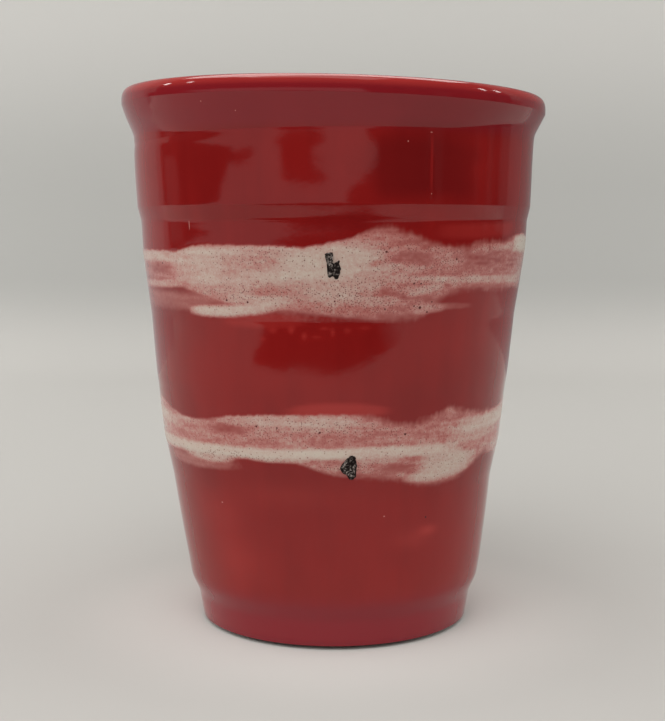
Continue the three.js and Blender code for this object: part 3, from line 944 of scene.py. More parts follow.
def white_cover(theta, z, band):
    """Cover of a band: the wash between its edges, then every stroke over it, then every wiped place."""
    fray, streak = brush_noise(theta, z)
    degrees = signed_degrees(theta)
    ragged = smooth_step(degrees, *RAGGED_START) * (1 - smooth_step(degrees, *RAGGED_END))
    spikes = layered_noise(theta, z, SPIKE_NOISE) * (CALM_SPIKES + (1 - CALM_SPIKES) * ragged)
    below_top = closed_line(theta, band["top"]) - z + TOP_FRAY * fray + spikes
    above_bottom = z - closed_line(theta, band["bottom"]) + BOTTOM_FRAY * fray + BOTTOM_SPIKES * spikes
    under_top = band_edge(below_top, TOP_RIM, TOP_SPREAD, ragged)
    over_bottom = band_edge(above_bottom, BOTTOM_RIM, BOTTOM_SPREAD, ragged)
    cover = under_top * over_bottom * (band["wash"] + WASH_STREAK * streak)
    bristles = fray + STROKE_STREAK * streak
    for stroke in band["strokes"]:
        cover = 1 - (1 - cover) * (1 - under_top * stroke_cover(theta, z, stroke, bristles))
    for wipe in band["wipes"]:
        cover = cover * (1 - stroke_cover(theta, z, wipe, bristles))
    return np.clip(cover + COVER_STREAK * streak * cover * (1 - cover), 0, 1)


def speck_share(theta, z, band):
    """How thickly the white is peppered: a little all over, and more in each mist."""
    fray, streak = brush_noise(theta, z)
    share = SPECKS_ALL_OVER + SPECK_STREAK * streak
    for mist in band["mists"]:
        share = 1 - (1 - share) * (1 - stroke_cover(theta, z, mist, MIST_FRAY * fray + streak))
    return np.clip(share, 0, 1)


band_middle = np.mean(UPPER_BAND["search"])
print(f"in front, {band_middle:.0f} mm up: cover {white_cover(0.0, band_middle, UPPER_BAND):.2f}")

# %% [markdown]
# ## Where one coat meets the next
# A band's piece ends a little outside the last trace of its white, and the red coat beside it starts
# there. A straight seam would be simpler, but it would cut through the straying edge. Both coats show the
# same red at the seam, and both have the same columns, so the join can't be seen. The line is found on a
# rough grid of cover: the last height with white in it, evened out round the pot.

# %% Find the seams
COLUMNS = 960
SEAM_STEP = 0.2
SEAM_MARGIN = 1.0
SEAM_EVENING = 17
TRACE = 0.06
theta = np.arange(COLUMNS) * 2 * math.pi / COLUMNS


def neighbours(line):
    """A line round the pot, with copies of it turned by up to a few columns either way."""
    return [np.roll(line, shift) for shift in range(-SEAM_EVENING, SEAM_EVENING + 1)]


def seams(band):
    """The lower and upper seam of a band: its outermost white among the neighbours, then their mean."""
    lowest, highest = band["search"]
    z = np.arange(lowest, highest, SEAM_STEP)[:, None]
    white = white_cover(theta, z, band) > TRACE
    low = np.min(neighbours(np.where(white, z, highest).min(axis=0)), axis=0)
    high = np.max(neighbours(np.where(white, z, lowest).max(axis=0)), axis=0)
    return np.mean(neighbours(low), axis=0) - SEAM_MARGIN, np.mean(neighbours(high), axis=0) + SEAM_MARGIN


upper_low, upper_high = seams(UPPER_BAND)
lower_low, lower_high = seams(LOWER_BAND)
print(f"upper band from {upper_low.min():.1f} to {upper_high.max():.1f} mm")
print(f"lower band from {lower_low.min():.1f} to {lower_high.max():.1f} mm")

# %% [markdown]
# ## The red glaze
# The red is a clear, glossy glaze: deep where it is thick, a warmer red where it thins over an edge, with a
# soft mottle, faint runs, a pinhole and a few pale flecks. A bluer red on the foot and the flare is a painted
# reflection of the shaded floor. Painted shade darkens it in the crease under the lip and along the foot, a
# few patches are darker, and two pale flecks and a line on the drip are painted highlights. It could be a
# glass skin over a coloured one, but it is one glossy surface, so the shader's own gloss is enough and no
# coat is laid over it. The same red shows between the strokes of the bands, so a function adds it to either
# finish. It reads Object coordinates, and the numbers for thinness and for the painted reflection tint that
# the coats store.

# %% Set the reds
DEEP_RED = (0.178, 0.0050, 0.0048, 1)
FULL_RED = (0.222, 0.0072, 0.0065, 1)
# The thin red serves the glaze thinned over an edge, and a painted highlight along the drip.
THIN_AND_SHEEN_RED = (0.37, 0.030, 0.025, 1)
# A darker red for painted shade under the lip and at the foot, and for the darker patches.
SHADE_AND_PATCH_RED = (0.10, 0.0030, 0.0036, 1)
# A bluer red, a painted reflection of the shaded floor, for the foot and the flare.
REFLECTION_TINT_RED = (0.20, 0.0085, 0.0165, 1)
PINHOLE = (0.03, 0.004, 0.004, 1)
FLECK_AND_GLINT_COLOUR = (0.42, 0.16, 0.14, 1)
# A noise is (scale, detail).
CLOUD_NOISE = (30.0, 3.0)
RUN_NOISE = (230.0, 2.0)
RUN_STRETCH = (1, 1, 0.12)
RUN_SHARE = 0.3
RED_RANGE = (0.33, 0.67)
SKIN_NOISE = (420.0, 2.0)
SKIN_STRENGTH = 0.05
SKIN_DEPTH = 0.0002
GLAZE_IOR = 1.46
GLAZE_ROUGHNESS = 0.07
# A fleck is (degrees, height, half width, half height), in millimetres but for the angle.
# The first two are painted highlights at the ends of the drip; the others are pale flecks in the glaze.
PALE_FLECKS_AND_GLINTS = [(25.7, 102.6, 0.22, 0.28), (25.4, 115.6, 0.3, 0.14), (-40.0, 33.2, 0.28, 0.22),
               (17.3, 31.5, 0.25, 0.2), (26.7, 6.1, 0.3, 0.2), (-42.8, 95.9, 0.14, 1.5),
               (-34.0, 121.5, 0.16, 0.2), (19.0, 113.5, 0.18, 0.2), (17.5, 75.0, 0.3, 0.22),
               (-24.5, 119.5, 0.16, 0.18)]
PINHOLES = [(33.1, 30.3, 0.24, 0.24)]
DOT_RIM = 0.6
print(f"{len(PALE_FLECKS_AND_GLINTS)} pale flecks, {len(PINHOLES)} pinhole")

# %% Write the red glaze
def fleck(tree, degrees, z, half_width, half_height):
    """1 inside a small upright egg on the wall, 0 outside: distance from its middle in units of its size."""
    angle = math.radians(degrees)
    radius = wall_radius(z) + flare(angle, z)
    shrink = (1 / (half_width * MM), 1 / (half_width * MM), 1 / (half_height * MM))
    middle = on_wheel(angle, radius, z) * MM * shrink
    ends = {0: object_place(tree, shrink), 1: middle.tolist()}
    distance = node(tree, "ShaderNodeVectorMath", ends, output=1, operation="DISTANCE")
    return between(tree, distance, DOT_RIM, 1.0, 1.0, 0.0)


def red_colour(tree):
    """The mottled red: clouds and upright runs mix two reds, then come the painted reflection tint, painted
    shade and darker patches, and thin places.
    """
    clouds = noise_of(tree, *CLOUD_NOISE)
    runs = noise_of(tree, *RUN_NOISE, RUN_STRETCH)
    share = between(tree, blend(tree, clouds, runs, RUN_SHARE), *RED_RANGE)
    red = mix_colour(tree, share, DEEP_RED, FULL_RED)
    red = mix_colour(tree, stored(tree, "reflection_tint"), red, REFLECTION_TINT_RED)
    thin = stored(tree, "thin")
    # Below 0 the stored thinness darkens the red: painted shade in the crease and at the foot, and the darker
    # patches.
    shade_and_patch_share = between(tree, thin, -1.0, 0.0, 1.0, 0.0)
    return mix_colour(tree, thin, mix_colour(tree, shade_and_patch_share, red, SHADE_AND_PATCH_RED), THIN_AND_SHEEN_RED)


def flecked_and_glinted(tree, colour):
    """The colour with the few pale flecks, two of them painted highlights at the ends of the drip, and the
    pinhole that can be seen on the front.
    """
    for places, fleck_colour in [(PALE_FLECKS_AND_GLINTS, FLECK_AND_GLINT_COLOUR), (PINHOLES, PINHOLE)]:
        for place in places:
            colour = mix_colour(tree, fleck(tree, *place), colour, fleck_colour)
    return colour


def glaze_skin(tree):
    """The slight unevenness of a fired glaze, a few millimetres across, as a bump."""
    return bump(tree, noise_of(tree, *SKIN_NOISE), SKIN_STRENGTH, SKIN_DEPTH)


red_glaze, tree = new_material("red_glaze")
fired_surface(tree, flecked_and_glinted(tree, red_colour(tree)), GLAZE_ROUGHNESS, GLAZE_IOR, glaze_skin(tree))
print(f"red glaze: {len(tree.nodes)} nodes")

# %% [markdown]
# ## The white glaze
# The brushed white melted into the red. A trace of it is a rose haze, more is pink and grainy, and where
# it is thick it is cream. Dark red specks and a few larger beads show where the red boiled through. The
# numbers "cover" and "specks" come from the strokes, and fine noise breaks the cover up. White could be a
# layer mixed in as it is, but real glazes melt together, so rose comes between red and cream. The white
# is less glossy than the red.

# %% Set the whites
CREAM = (0.535, 0.472, 0.402, 1)
ROSE = (0.40, 0.15, 0.132, 1)
BEAD_RED = (0.085, 0.016, 0.014, 1)
SPECK_RED = (0.125, 0.022, 0.019, 1)
ROSE_COVER = 0.3
LOOSE_COVER = (0.08, 0.35)
GRAIN_NOISE = (2600.0, 2.0)
MOTTLE_NOISE = (950.0, 1.0)
MOTTLE_SHARE = 0.35
GRAIN_MIDDLE = 0.5
GRAIN_STRENGTH = 3.6
SPECKED_COVER = (0.12, 0.35)
# Chance spots are (cells a metre, share of the cells at most, size in cells).
PEPPER = (2400.0, 0.95, 0.42)
PEPPER_STRENGTH = 0.7
DROPS = (640.0, 0.12, 0.2)
BEADS = [(24.7, 78.2, 0.42, 0.38), (27.1, 77.2, 0.28, 0.26), (22.9, 78.6, 0.24, 0.22),
         (13.9, 90.3, 0.34, 0.26), (24.5, 83.4, 0.26, 0.22), (28.4, 79.4, 0.24, 0.2),
         (1.7, 81.0, 0.24, 0.24), (0.4, 79.8, 0.22, 0.22)]
DULLER_COVER = (0.1, 0.9)
WHITE_ROUGHNESS = 0.26
print(f"{len(BEADS)} beads drawn by hand, the other specks by chance")

# %% Write the white glaze
def speckle(tree, scale, most, size):
    """Chance spots: cells of 1/scale metres, a share chosen by "specks", each a dot of a size in cells."""
    cells = tree.nodes.new("ShaderNodeTexVoronoi")
    cells.inputs["Scale"].default_value = scale
    tree.links.new(object_place(tree), cells.inputs["Vector"])
    number = node(tree, "ShaderNodeSeparateColor", {0: cells.outputs["Color"]})
    share = times(tree, stored(tree, "specks"), most)
    chosen = math_of(tree, "GREATER_THAN", number, math_of(tree, "SUBTRACT", 1.0, share))
    return times(tree, chosen, between(tree, cells.outputs["Distance"], DOT_RIM * size, size, 1.0, 0.0))


def grained_cover(tree, cover):
    """The cover shaken by grain: most where it is about half, and not at all where it is a trace."""
    grain = blend(tree, noise_of(tree, *GRAIN_NOISE), noise_of(tree, *MOTTLE_NOISE), MOTTLE_SHARE)
    half_bare = times(tree, cover, math_of(tree, "SUBTRACT", 1.0, cover))
    loose = times(tree, half_bare, between(tree, cover, *LOOSE_COVER))
    up_or_down = math_of(tree, "SUBTRACT", grain, GRAIN_MIDDLE)
    return math_of(tree, "ADD", cover, times(tree, up_or_down, times(tree, loose, GRAIN_STRENGTH)))


def white_colour(tree, cover):
    """Red, then rose, then cream as the grained cover grows."""
    grained = grained_cover(tree, cover)
    haze = node(tree, "ShaderNodeMapRange", {"Value": grained, "From Min": 0.0, "From Max": ROSE_COVER})
    body = node(tree, "ShaderNodeMapRange", {"Value": grained, "From Min": ROSE_COVER, "From Max": 1.0})
    return mix_colour(tree, body, mix_colour(tree, haze, red_colour(tree), ROSE), CREAM)


def specked(tree, colour, cover):
    """The colour with chance pepper and drops where there is more than a trace of white, and beads."""
    room = between(tree, cover, *SPECKED_COVER)
    pepper = times(tree, speckle(tree, *PEPPER), PEPPER_STRENGTH)
    colour = mix_colour(tree, times(tree, pepper, room), colour, SPECK_RED)
    drops = times(tree, speckle(tree, *DROPS), room)
    for bead in BEADS:
        drops = math_of(tree, "MAXIMUM", drops, fleck(tree, *bead))
    return mix_colour(tree, drops, colour, BEAD_RED)


white_glaze, tree = new_material("white_glaze")
cover = stored(tree, "cover")
roughness = between(tree, cover, *DULLER_COVER, GLAZE_ROUGHNESS, WHITE_ROUGHNESS)
fired_surface(tree, specked(tree, white_colour(tree, cover), cover), roughness, GLAZE_IOR, glaze_skin(tree))
print(f"white glaze: {len(tree.nodes)} nodes")

# %% [markdown]
# ## The coats of glaze
# Five skins cover the outside, one above the other: red from the foot, the lower band, red, the upper
# band, and red over the lip. One skin with painted bands would look the same, but the CAD model has a
# piece for each coat. Each is a tyre whose outer face lies on the formula and whose inner face is sunk a
# little. Two rows lie close together at each edge, so that the smooth shading stays true right up to the
# seam.

# %% Write the coats
COAT_DEPTH = 0.45
EDGE_ROW = 0.03
FEWEST_ROWS = 3
INNER_ROWS = 3


def coat_rows(low, high, spacing):
    """Climbs of a coat's outer rows for each column: even steps, with one close row at either edge."""
    count = max(FEWEST_ROWS, int(np.ceil((high - low).max() / spacing)))
    share = np.linspace(0, 1, count)[:, None]
    inner = low + EDGE_ROW + (high - low - 2 * EDGE_ROW) * share
    return np.concatenate([np.broadcast_to(low, (1, COLUMNS)), inner, np.broadcast_to(high, (1, COLUMNS))])


def coat(name, climbs, lift):
    """A closed skin: outer rows on the pot, raised by a lift, and inner rows sunk by the coat's depth."""
    inner_climbs = climbs[-1] + (climbs[0] - climbs[-1]) * np.linspace(0, 1, INNER_ROWS)[:, None]
    outer = outside(theta, climbs, -lift)
    inner = outside(theta, inner_climbs, COAT_DEPTH)
    return tyre(name, np.concatenate([outer, inner]))


def store_outer(piece, name, values):
    """Stores a number for each outer point of a coat, and 0 for the inner ones."""
    store(piece, name, np.concatenate([values, np.zeros((INNER_ROWS, COLUMNS))]))


print(f"a coat is {COAT_DEPTH} mm deep and has {COLUMNS} columns")

# %% Set the thin glaze, the painted shade, the darker patches and the painted reflection tint
# A patch has the form of a stroke. A spot is (degrees, height, half angle, half height, amount).
GRAIN_CELLS = (26, 3, 31)
CREST_CLIMB = (0.6, 2.2)
CREST_THIN = 0.7
CREST_GRAIN = 0.15
# Painted shade: the red is darkened in the crease under the lip and along the foot's edge.
CREASE_SHADE = 0.45
CREASE_CLIMB = 0.3
CREASE_REACH = 0.6
FOOT_SHADE_CLIMB = (0.5, 1.5)
LOW_THIN = 0.1
LOW_REACH = (15, 45)
PATCH_FRAY = 0.6
# Where the painted reflection tint goes: below the cove, and over the flare and lip.
TINT_FOOT_CLIMB = (8, 14)
TINT_FLARE_CLIMB = (115, 118)
FLARE_TINT_SHARE = 0.6
# Patches where the red is made darker.
DARKER_PATCHES = [
    (4, 46, (108.0, 108.0, 107.0), (7.0, 9.0, 8.0), (0.35, 0.62, 0.25)),
    (-14, 30, (95.5, 96.5, 96.0), (1.5, 2.0, 1.5), (0.20, 0.30, 0.10)),
    (8, 80, (119.0, 119.5, 119.5), (3.0, 5.0, 4.0), (0.15, 0.30, 0.20)),
    (-28, 26, (70.0, 69.0, 70.0), (5.0, 7.0, 5.0), (0.10, 0.22, 0.10)),
]
THIN_AND_SHEEN_PATCHES = [
    (26, 64, (94.6, 94.8, 95.4), (1.6, 1.9, 1.5), (0.20, 0.36, 0.25)),
    # A painted highlight: a pale line along the drip.
    (25.2, 26.2, (109.0, 109.0, 109.0), (6.0, 6.0, 6.0), (0.25, 0.40, 0.25)),
    (-17, 20, (55.2, 56.2, 55.4), (0.5, 1.7, 0.6), (0.40, 0.58, 0.40)),
    (-36, -4, (76.0, 75.4, 75.6), (1.2, 1.9, 1.0), (0.15, 0.42, 0.20)),
]
THIN_SPOTS = [(34.5, 27.2, 3.6, 1.1, 0.55), (28, 25.5, 7, 2.2, 0.25), (-36, 20, 12, 6, 0.28),
              (-42, 31, 14, 5, 0.2), (-14, 36.5, 20, 3, 0.2), (-11.6, 73.4, 1.1, 0.8, 0.7),
              (-8, 72.2, 0.9, 1.0, 0.7), (-4.6, 72, 2.0, 0.6, 0.5), (-17, 73.2, 1.5, 0.7, 0.5),
              (4, 73.4, 1.4, 0.8, 0.5), (0, 73, 0.8, 1.0, 0.6), (9, 74, 2.2, 0.6, 0.4),
              (-20, 71.5, 1.2, 0.7, 0.4), (-2.4, 73.9, 1.6, 0.5, 0.5)]


def thinness_shade_and_sheen(theta, climb):
    """Thinness: most over the crest, some low down and in spots, and a painted highlight on the drip; below
    0, painted shade and darker patches.
    """
    grain = value_noise(theta, climb, *GRAIN_CELLS)
    over_lip = climb - LIP_START
    crest = smooth_step(over_lip, *CREST_CLIMB) * (CREST_THIN + CREST_GRAIN * grain)
    crease = CREASE_SHADE * bell((over_lip - CREASE_CLIMB) / CREASE_REACH)
    foot = 1 - smooth_step(climb, *FOOT_SHADE_CLIMB)
    thin = crest - crease - foot + LOW_THIN * (1 - smooth_step(climb, *LOW_REACH))
    for patch in THIN_AND_SHEEN_PATCHES:
        thin = np.maximum(thin, stroke_cover(theta, climb, patch, PATCH_FRAY * grain))
    degrees = signed_degrees(theta)
    for at, z, half_angle, half_height, amount in THIN_SPOTS:
        thin = thin + amount * bell(np.hypot((degrees - at) / half_angle, (climb - z) / half_height))
    for patch in DARKER_PATCHES:
        thin = thin - stroke_cover(theta, climb, patch, PATCH_FRAY * grain)
    return np.clip(thin, -1, 1)


def reflection_tint_share(climb):
    """How far the red takes the painted reflection tint, a bluer red: all the way below the cove, and part of
    it over the flare and lip.
    """
    return 1 - smooth_step(climb, *TINT_FOOT_CLIMB) + FLARE_TINT_SHARE * smooth_step(climb, *TINT_FLARE_CLIMB)


print(f"thinness at the crest in front: {thinness_shade_and_sheen(0.0, HEIGHT):.2f}")

# %% Lay the coats
WHITE_RELIEF = 0.07
FOOT_EDGE = 0.45
RING_TOP = 100.35
RED_SPACING = 0.8
WHITE_SPACING = 0.3
RING_SPACING = 0.45
NECK_SPACING = 0.7
FLARE_SPACING = 0.5
LIP_SPACING = 0.2


def red_coat(name, node_name, climbs):
    """A coat of red glaze, which knows where it is thin, where painted shade falls and where the painted
    reflection tint goes.
    """
    made = coat(name, climbs, 0.0)
    store_outer(made, "thin", thinness_shade_and_sheen(theta, climbs))
    store_outer(made, "reflection_tint", reflection_tint_share(climbs))
    dress(made, node_name, red_glaze)


def white_coat(name, node_name, climbs, band):
    """A coat with brushed white over red, which stands a hair higher where the white is thick."""
    covers = white_cover(theta, climbs, band)
    made = coat(name, climbs, WHITE_RELIEF * covers)
    store_outer(made, "thin", thinness_shade_and_sheen(theta, climbs))
    store_outer(made, "cover", covers)
    store_outer(made, "specks", speck_share(theta, climbs, band))
    dress(made, node_name, white_glaze)


levels = (FOOT_EDGE, RING_TOP, LIP_START, HEIGHT)
foot_line, ring_line, lip_line, crest_line = (np.full(COLUMNS, level) for level in levels)
flare_line = LIP_START - flare_reach(theta)[1]
red_coat("lower_red", "lower_glaze", coat_rows(foot_line, lower_low, RED_SPACING))
white_coat("lower_white_band", "lower_band", coat_rows(lower_low, lower_high, WHITE_SPACING), LOWER_BAND)
red_coat("middle_red", "middle_glaze", coat_rows(lower_high, upper_low, RED_SPACING))
white_coat("upper_white_band", "upper_band", coat_rows(upper_low, upper_high, WHITE_SPACING), UPPER_BAND)
ring_climbs = coat_rows(upper_high, ring_line, RING_SPACING)[:-1]
neck_climbs = coat_rows(ring_line, flare_line, NECK_SPACING)[:-1]
flare_climbs = coat_rows(flare_line, lip_line, FLARE_SPACING)[:-1]
lip_climbs = coat_rows(lip_line, crest_line, LIP_SPACING)
red_coat("upper_red", "upper_glaze", np.concatenate([ring_climbs, neck_climbs, flare_climbs, lip_climbs]))

# %% [markdown]
# ## Clay and lining
# Under the glaze is the clay: wall, floor, lip and foot ring are one fired piece, bare only where it
# stands. The lining is the red glaze poured inside. Both could be cut out of solids, as in CAD. Here they
# are turned on the wheel, as the potter did it: a section in radius and height, carried round the axis.

# %% Set the inside and the foot, in millimetres
TURNED_COLUMNS = 480
NECK_THICKNESS = 3.6
HEEL_THICKNESS = 5.0
FLOOR_CORNER = 12.0
FLOOR_THICKNESS = 5.5
FOOT_RECESS = 2.0
FOOT_RING_WIDTH = 6.0
FOOT_RING_SLOPE = 1.4
FOOT_BEVEL = 0.35
GLAZE_THICKNESS = 0.6
FLOOR_LEVEL = FOOT_RECESS + FLOOR_THICKNESS + GLAZE_THICKNESS
FLOOR_STEPS = 12
CORNER_STEPS = 14
WALL_STEPS = 60
LIP_STEPS = 12
turned_theta = np.arange(TURNED_COLUMNS) * 2 * math.pi / TURNED_COLUMNS


def inside_radius(z, depth):
    """The inner wall: the outer one less the clay and two glazes, opening out to the lip."""
    u = (z - COVE_TOP) / (NECK_LEVEL - COVE_TOP)
    clay = HEEL_THICKNESS + (NECK_THICKNESS - HEEL_THICKNESS) * u
    wall = wall_radius(z) - 2 * GLAZE_THICKNESS - clay
    opened = smooth_step(z, LIP_LEVEL - INNER_FLARE_RISE, LIP_LEVEL)
    return wall * (1 - opened) + (CREST_RADIUS - LIP_ROLL) * opened + depth


def inside_section(depth):
    """The inside from the axis to the crest: floor, a corner that is a quadratic curve, wall, rolled lip."""
    corner_top = FLOOR_LEVEL + FLOOR_CORNER
    wall_at_floor = inside_radius(FLOOR_LEVEL, depth)
    floor_z = FLOOR_LEVEL - depth
    u = np.linspace(0, 1, CORNER_STEPS)
    corner_r = (wall_at_floor - FLOOR_CORNER) * (1 - u) ** 2 + wall_at_floor * 2 * u * (1 - u)
    corner_r = corner_r + inside_radius(corner_top, depth) * u ** 2
    corner_z = floor_z * (1 - u ** 2) + corner_top * u ** 2
    floor_r = np.linspace(0, corner_r[0], FLOOR_STEPS)[:-1]
    wall_z = np.linspace(corner_top, LIP_LEVEL, WALL_STEPS)[1:]
    over = np.linspace(0, math.pi / 2, LIP_STEPS)[1:]
    lip_r = CREST_RADIUS - (LIP_ROLL - depth) * np.cos(over)
    lip_z = LIP_LEVEL + (LIP_RISE - depth) * np.sin(over)
    radius = np.concatenate([floor_r, corner_r, inside_radius(wall_z, depth), lip_r])
    return np.stack([radius, np.concatenate([np.full(len(floor_r), floor_z), corner_z, wall_z, lip_z])])


def round_the_wheel(section):
    """A section, as a row of radii and a row of heights, carried round the axis: a grid of points."""
    radius, z = np.array(section)[:, :, None]
    return on_wheel(turned_theta, radius, z)


print(f"the inside floor is {FLOOR_LEVEL:.1f} mm up")

# %% Turn the clay and the lining
COVE_STEPS = 24
CLAY_STEPS = 70
RING_EASE = 0.25
ROOT_EASE = 0.4
INNER_EASE = (0.3, 0.2)
OUTER_EASE = 0.5
# The bevel's points are (share of its width, share of its height).
BEVEL_POINTS = [(0, 0.07), (0.6, 0.3), (0.85, 0.6)]

clay_climbs = np.concatenate([np.linspace(FOOT_EDGE, COVE_TOP, COVE_STEPS),
                              np.linspace(COVE_TOP, LIP_START, CLAY_STEPS)[1:],
                              np.linspace(LIP_START, HEIGHT, LIP_STEPS)[1:]])
clay_outside = outside(turned_theta, clay_climbs[:, None], GLAZE_THICKNESS)
ring_outer = np.hypot(clay_outside[0, 0, 0], clay_outside[0, 0, 1]) - FOOT_BEVEL
ring_inner = ring_outer - FOOT_RING_WIDTH
ring_root = ring_inner - FOOT_RING_SLOPE
hollow = [(0, FOOT_RECESS), (ring_inner / 2, FOOT_RECESS), (ring_root - ROOT_EASE, FOOT_RECESS)]
ring = [(ring_root, FOOT_RECESS - RING_EASE), (ring_inner - INNER_EASE[0], RING_EASE),
        (ring_inner + INNER_EASE[1], 0), (ring_outer - OUTER_EASE, 0)]
bevel = [(ring_outer + across * FOOT_BEVEL, up * FOOT_EDGE) for across, up in BEVEL_POINTS]
clay_inside = inside_section(GLAZE_THICKNESS)[:, ::-1][:, 1:]
clay_points = np.concatenate([round_the_wheel(np.transpose(hollow + ring + bevel)), clay_outside,
                              round_the_wheel(clay_inside)])
lining_section = np.concatenate([inside_section(COAT_DEPTH), inside_section(0.0)[:, ::-1]], axis=1)
lining_points = round_the_wheel(lining_section)
print(f"foot ring {ring_inner:.1f} to {ring_outer:.1f} mm from the axis")

# %% [markdown]
# ## The bare clay
# Only the standing ring and the hollow under the foot are bare. The clay is buff, matt and a little
# gritty, and it is stained dark red along the edge where the glaze ran down to it, darkened nearly to
# black there as painted shade where the pot meets the cloth. One plain colour would do from afar. Grit
# from a noise holds up close by, and a stored number puts the stained and shaded edge where the ring
# ends.

# %% Write the bare clay
BUFF = (0.40, 0.24, 0.13, 1)
GRIT = (0.22, 0.12, 0.06, 1)
# The stained edge, darkened nearly to black as painted shade.
STAIN_AND_SHADE = (0.05, 0.008, 0.006, 1)
GRIT_NOISE = (900.0, 4.0)
GRIT_RANGE = (0.45, 0.75)
GRIT_STRENGTH = 0.4
GRIT_DEPTH = 0.0002
CLAY_ROUGHNESS = 0.85
CLAY_IOR = 1.45

bare_clay, tree = new_material("bare_clay")
grit = noise_of(tree, *GRIT_NOISE)
colour = mix_colour(tree, between(tree, grit, *GRIT_RANGE), BUFF, GRIT)
colour = mix_colour(tree, stored(tree, "stain_and_shade"), colour, STAIN_AND_SHADE)
fired_surface(tree, colour, CLAY_ROUGHNESS, CLAY_IOR, bump(tree, grit, GRIT_STRENGTH, GRIT_DEPTH))
print(f"bare clay: {len(tree.nodes)} nodes")

# %% Dress the clay and the lining
STAIN_AND_SHADE_WIDTH = 1.5
RIM_REACH = (LIP_LEVEL - 0.5, LIP_LEVEL + 1.8)
RIM_THIN = 0.6


def turned_piece(name, points, stored_name, values, node_name, material):
    """A turned and dressed piece with a number for each point, 0 at the two on the axis."""
    made = turned(name, points)
    store(made, stored_name, np.append(values[1:-1].ravel(), [0, 0]))
    dress(made, node_name, material)


from_axis = np.hypot(clay_points[..., 0], clay_points[..., 1])
stain_and_shade_share = smooth_step(from_axis, ring_outer - STAIN_AND_SHADE_WIDTH, ring_outer)
turned_piece("thrown_clay", clay_points, "stain_and_shade", stain_and_shade_share, "clay_body", bare_clay)
rim_share = RIM_THIN * smooth_step(lining_points[..., 2], *RIM_REACH)
turned_piece("lining_red", lining_points, "thin", rim_share, "lining_glaze", red_glaze)

# %% [markdown]
# ## Black dabs
# On each band the potter left one dab of a black slip that dried to a crust: a lumpy patch with a ragged
# outline, black at its rim and greyer and grainy on top. A lump could be sculpted. Here each is a small
# dome over a drawn outline, which can be bent onto the wall exactly. Rings run from its middle
# to the outline, then under it, and noise makes the crust.

# %% Draw the dabs, in millimetres right and up of their middles
UPPER_DAB = {
    "degrees": -0.3, "z": 87.7,
    "outline": [(-1.7, 1.9), (-1.35, 2.3), (-0.3, 2.65), (0.1, 2.0), (0.0, 0.8), (0.25, 0.15), (0.8, 0.3),
                (1.45, 0.85), (1.5, 0.0), (1.8, -0.95), (1.55, -2.2), (1.3, -2.95), (0.6, -3.2), (0.2, -2.7),
                (-0.65, -2.9), (-1.05, -2.2), (-1.2, -0.6), (-1.3, 0.3)],
}
LOWER_DAB = {
    "degrees": 5.0, "z": 43.3,
    "outline": [(0.6, 2.6), (1.5, 2.35), (1.75, 1.45), (2.0, 0.2), (1.8, -1.0), (1.7, -2.4), (0.9, -2.9),
                (0.2, -2.7), (-0.25, -1.95), (-0.95, -1.55), (-1.5, -1.0), (-1.75, -0.2), (-1.1, 1.05),
                (-0.25, 1.95)],
}


def closed_outline(points, count):
    """A smooth closed loop through points: cubics whose slopes follow each point's two neighbours."""
    p = np.array(points, float)
    at = np.arange(count) * len(p) / count
    k = at.astype(int)
    u = (at - k)[:, None]
    before, here, after, later = (p[(k + step) % len(p)] for step in (-1, 0, 1, 2))
    return cubic(u, here, after, (after - before) / 2, (later - here) / 2)


print(f"outlines of {len(UPPER_DAB['outline'])} and {len(LOWER_DAB['outline'])} points")

# %% Write a dab
# Cells are (round the pot or outline, height in mm).
DAB_PROUD = 0.55
DAB_SUNK = 0.25
DAB_SIDES = 220
DAB_RINGS = 40
UNDER_RINGS = 5
DAB_FRAY = 0.04
FRAY_CELLS = (48, 1)
COARSE_CELLS = (420, 0.62)
FINE_CELLS = (1100, 0.25)
COARSE_CRUST = 0.35
FINE_CRUST = 0.25
RIM_SHARE = (0.55, 0.9)
MIDDLE_PROUD = 0.7
DOME_POWER = 6
MEAN_GREY = 0.55
COARSE_GREY = 0.9
FINE_GREY = 0.6
RIM_BLACK = 0.6


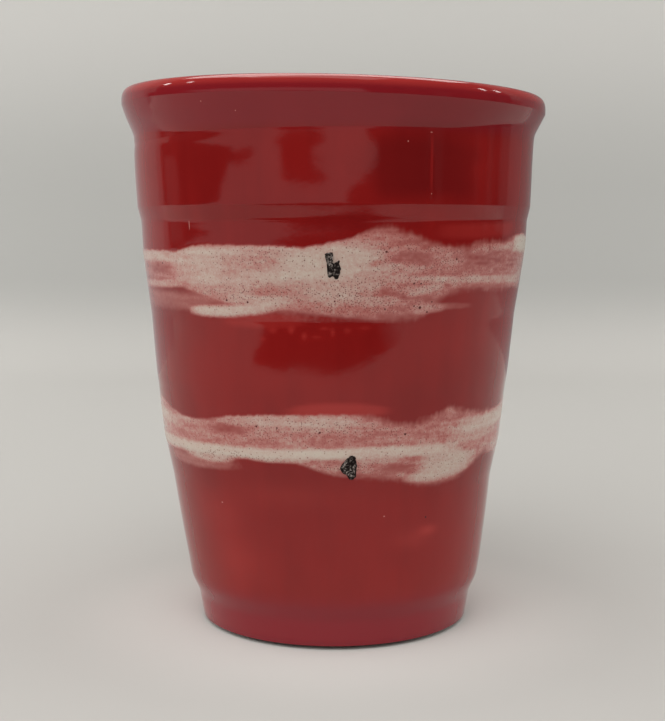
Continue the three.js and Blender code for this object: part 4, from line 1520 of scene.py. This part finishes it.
def dab(name, drawn, seed):
    """A crusty dome on the wall: rings out to the outline, proud by 1 - share^6, roughened by noise."""
    turn = np.arange(DAB_SIDES)[:, None] * 2 * math.pi / DAB_SIDES
    fray = value_noise(turn, 0 * turn, *FRAY_CELLS, seed + 2)
    loop = closed_outline(drawn["outline"], DAB_SIDES) * (1 + DAB_FRAY * fray)
    share = np.concatenate([np.linspace(0, 1, DAB_RINGS), np.linspace(1, 0, UNDER_RINGS)])[:, None]
    wall_theta = math.radians(drawn["degrees"]) + loop[:, 0] * share / wall_radius(drawn["z"])
    z = drawn["z"] + loop[:, 1] * share
    coarse = value_noise(wall_theta, z, *COARSE_CELLS, seed)
    fine = value_noise(wall_theta, z, *FINE_CELLS, seed + 1)
    rim = smooth_step(share, *RIM_SHARE)
    dome = (MIDDLE_PROUD + (1 - MIDDLE_PROUD) * rim) * (1 - share ** DOME_POWER)
    top = DAB_PROUD * dome * (1 + COARSE_CRUST * coarse + FINE_CRUST * fine)
    lift = np.where(np.arange(len(share))[:, None] < DAB_RINGS, top, -DAB_SUNK)
    made = turned(name, outside(wall_theta, z, -lift))
    grey = np.clip(MEAN_GREY + COARSE_GREY * coarse + FINE_GREY * fine - RIM_BLACK * rim, 0, 1)
    store(made, "grey", np.append(grey[1:-1].ravel(), [grey[0, 0], 0]))
    return made


print(f"a dab has {DAB_RINGS} rings of {DAB_SIDES} points")

# %% Write the black crust and lay the dabs
SOOT = (0.0075, 0.0032, 0.0028, 1)
ASH = (0.27, 0.23, 0.21, 1)
CRUST_NOISE = (2600.0, 3.0)
ASH_RANGE = (0.45, 0.57)
CRUST_STRENGTH = 0.5
CRUST_DEPTH = 0.0001
CRUST_ROUGHNESS = 0.5
CRUST_IOR = 1.25
UPPER_SEED = 51
LOWER_SEED = 57

black_crust, tree = new_material("black_crust")
crumbs = noise_of(tree, *CRUST_NOISE)
share = times(tree, stored(tree, "grey"), between(tree, crumbs, *ASH_RANGE))
pitted = bump(tree, crumbs, CRUST_STRENGTH, CRUST_DEPTH)
fired_surface(tree, mix_colour(tree, share, SOOT, ASH), CRUST_ROUGHNESS, CRUST_IOR, pitted)
dress(dab("upper_black_dab", UPPER_DAB, UPPER_SEED), "upper_dab", black_crust)
dress(dab("lower_black_dab", LOWER_DAB, LOWER_SEED), "lower_dab", black_crust)
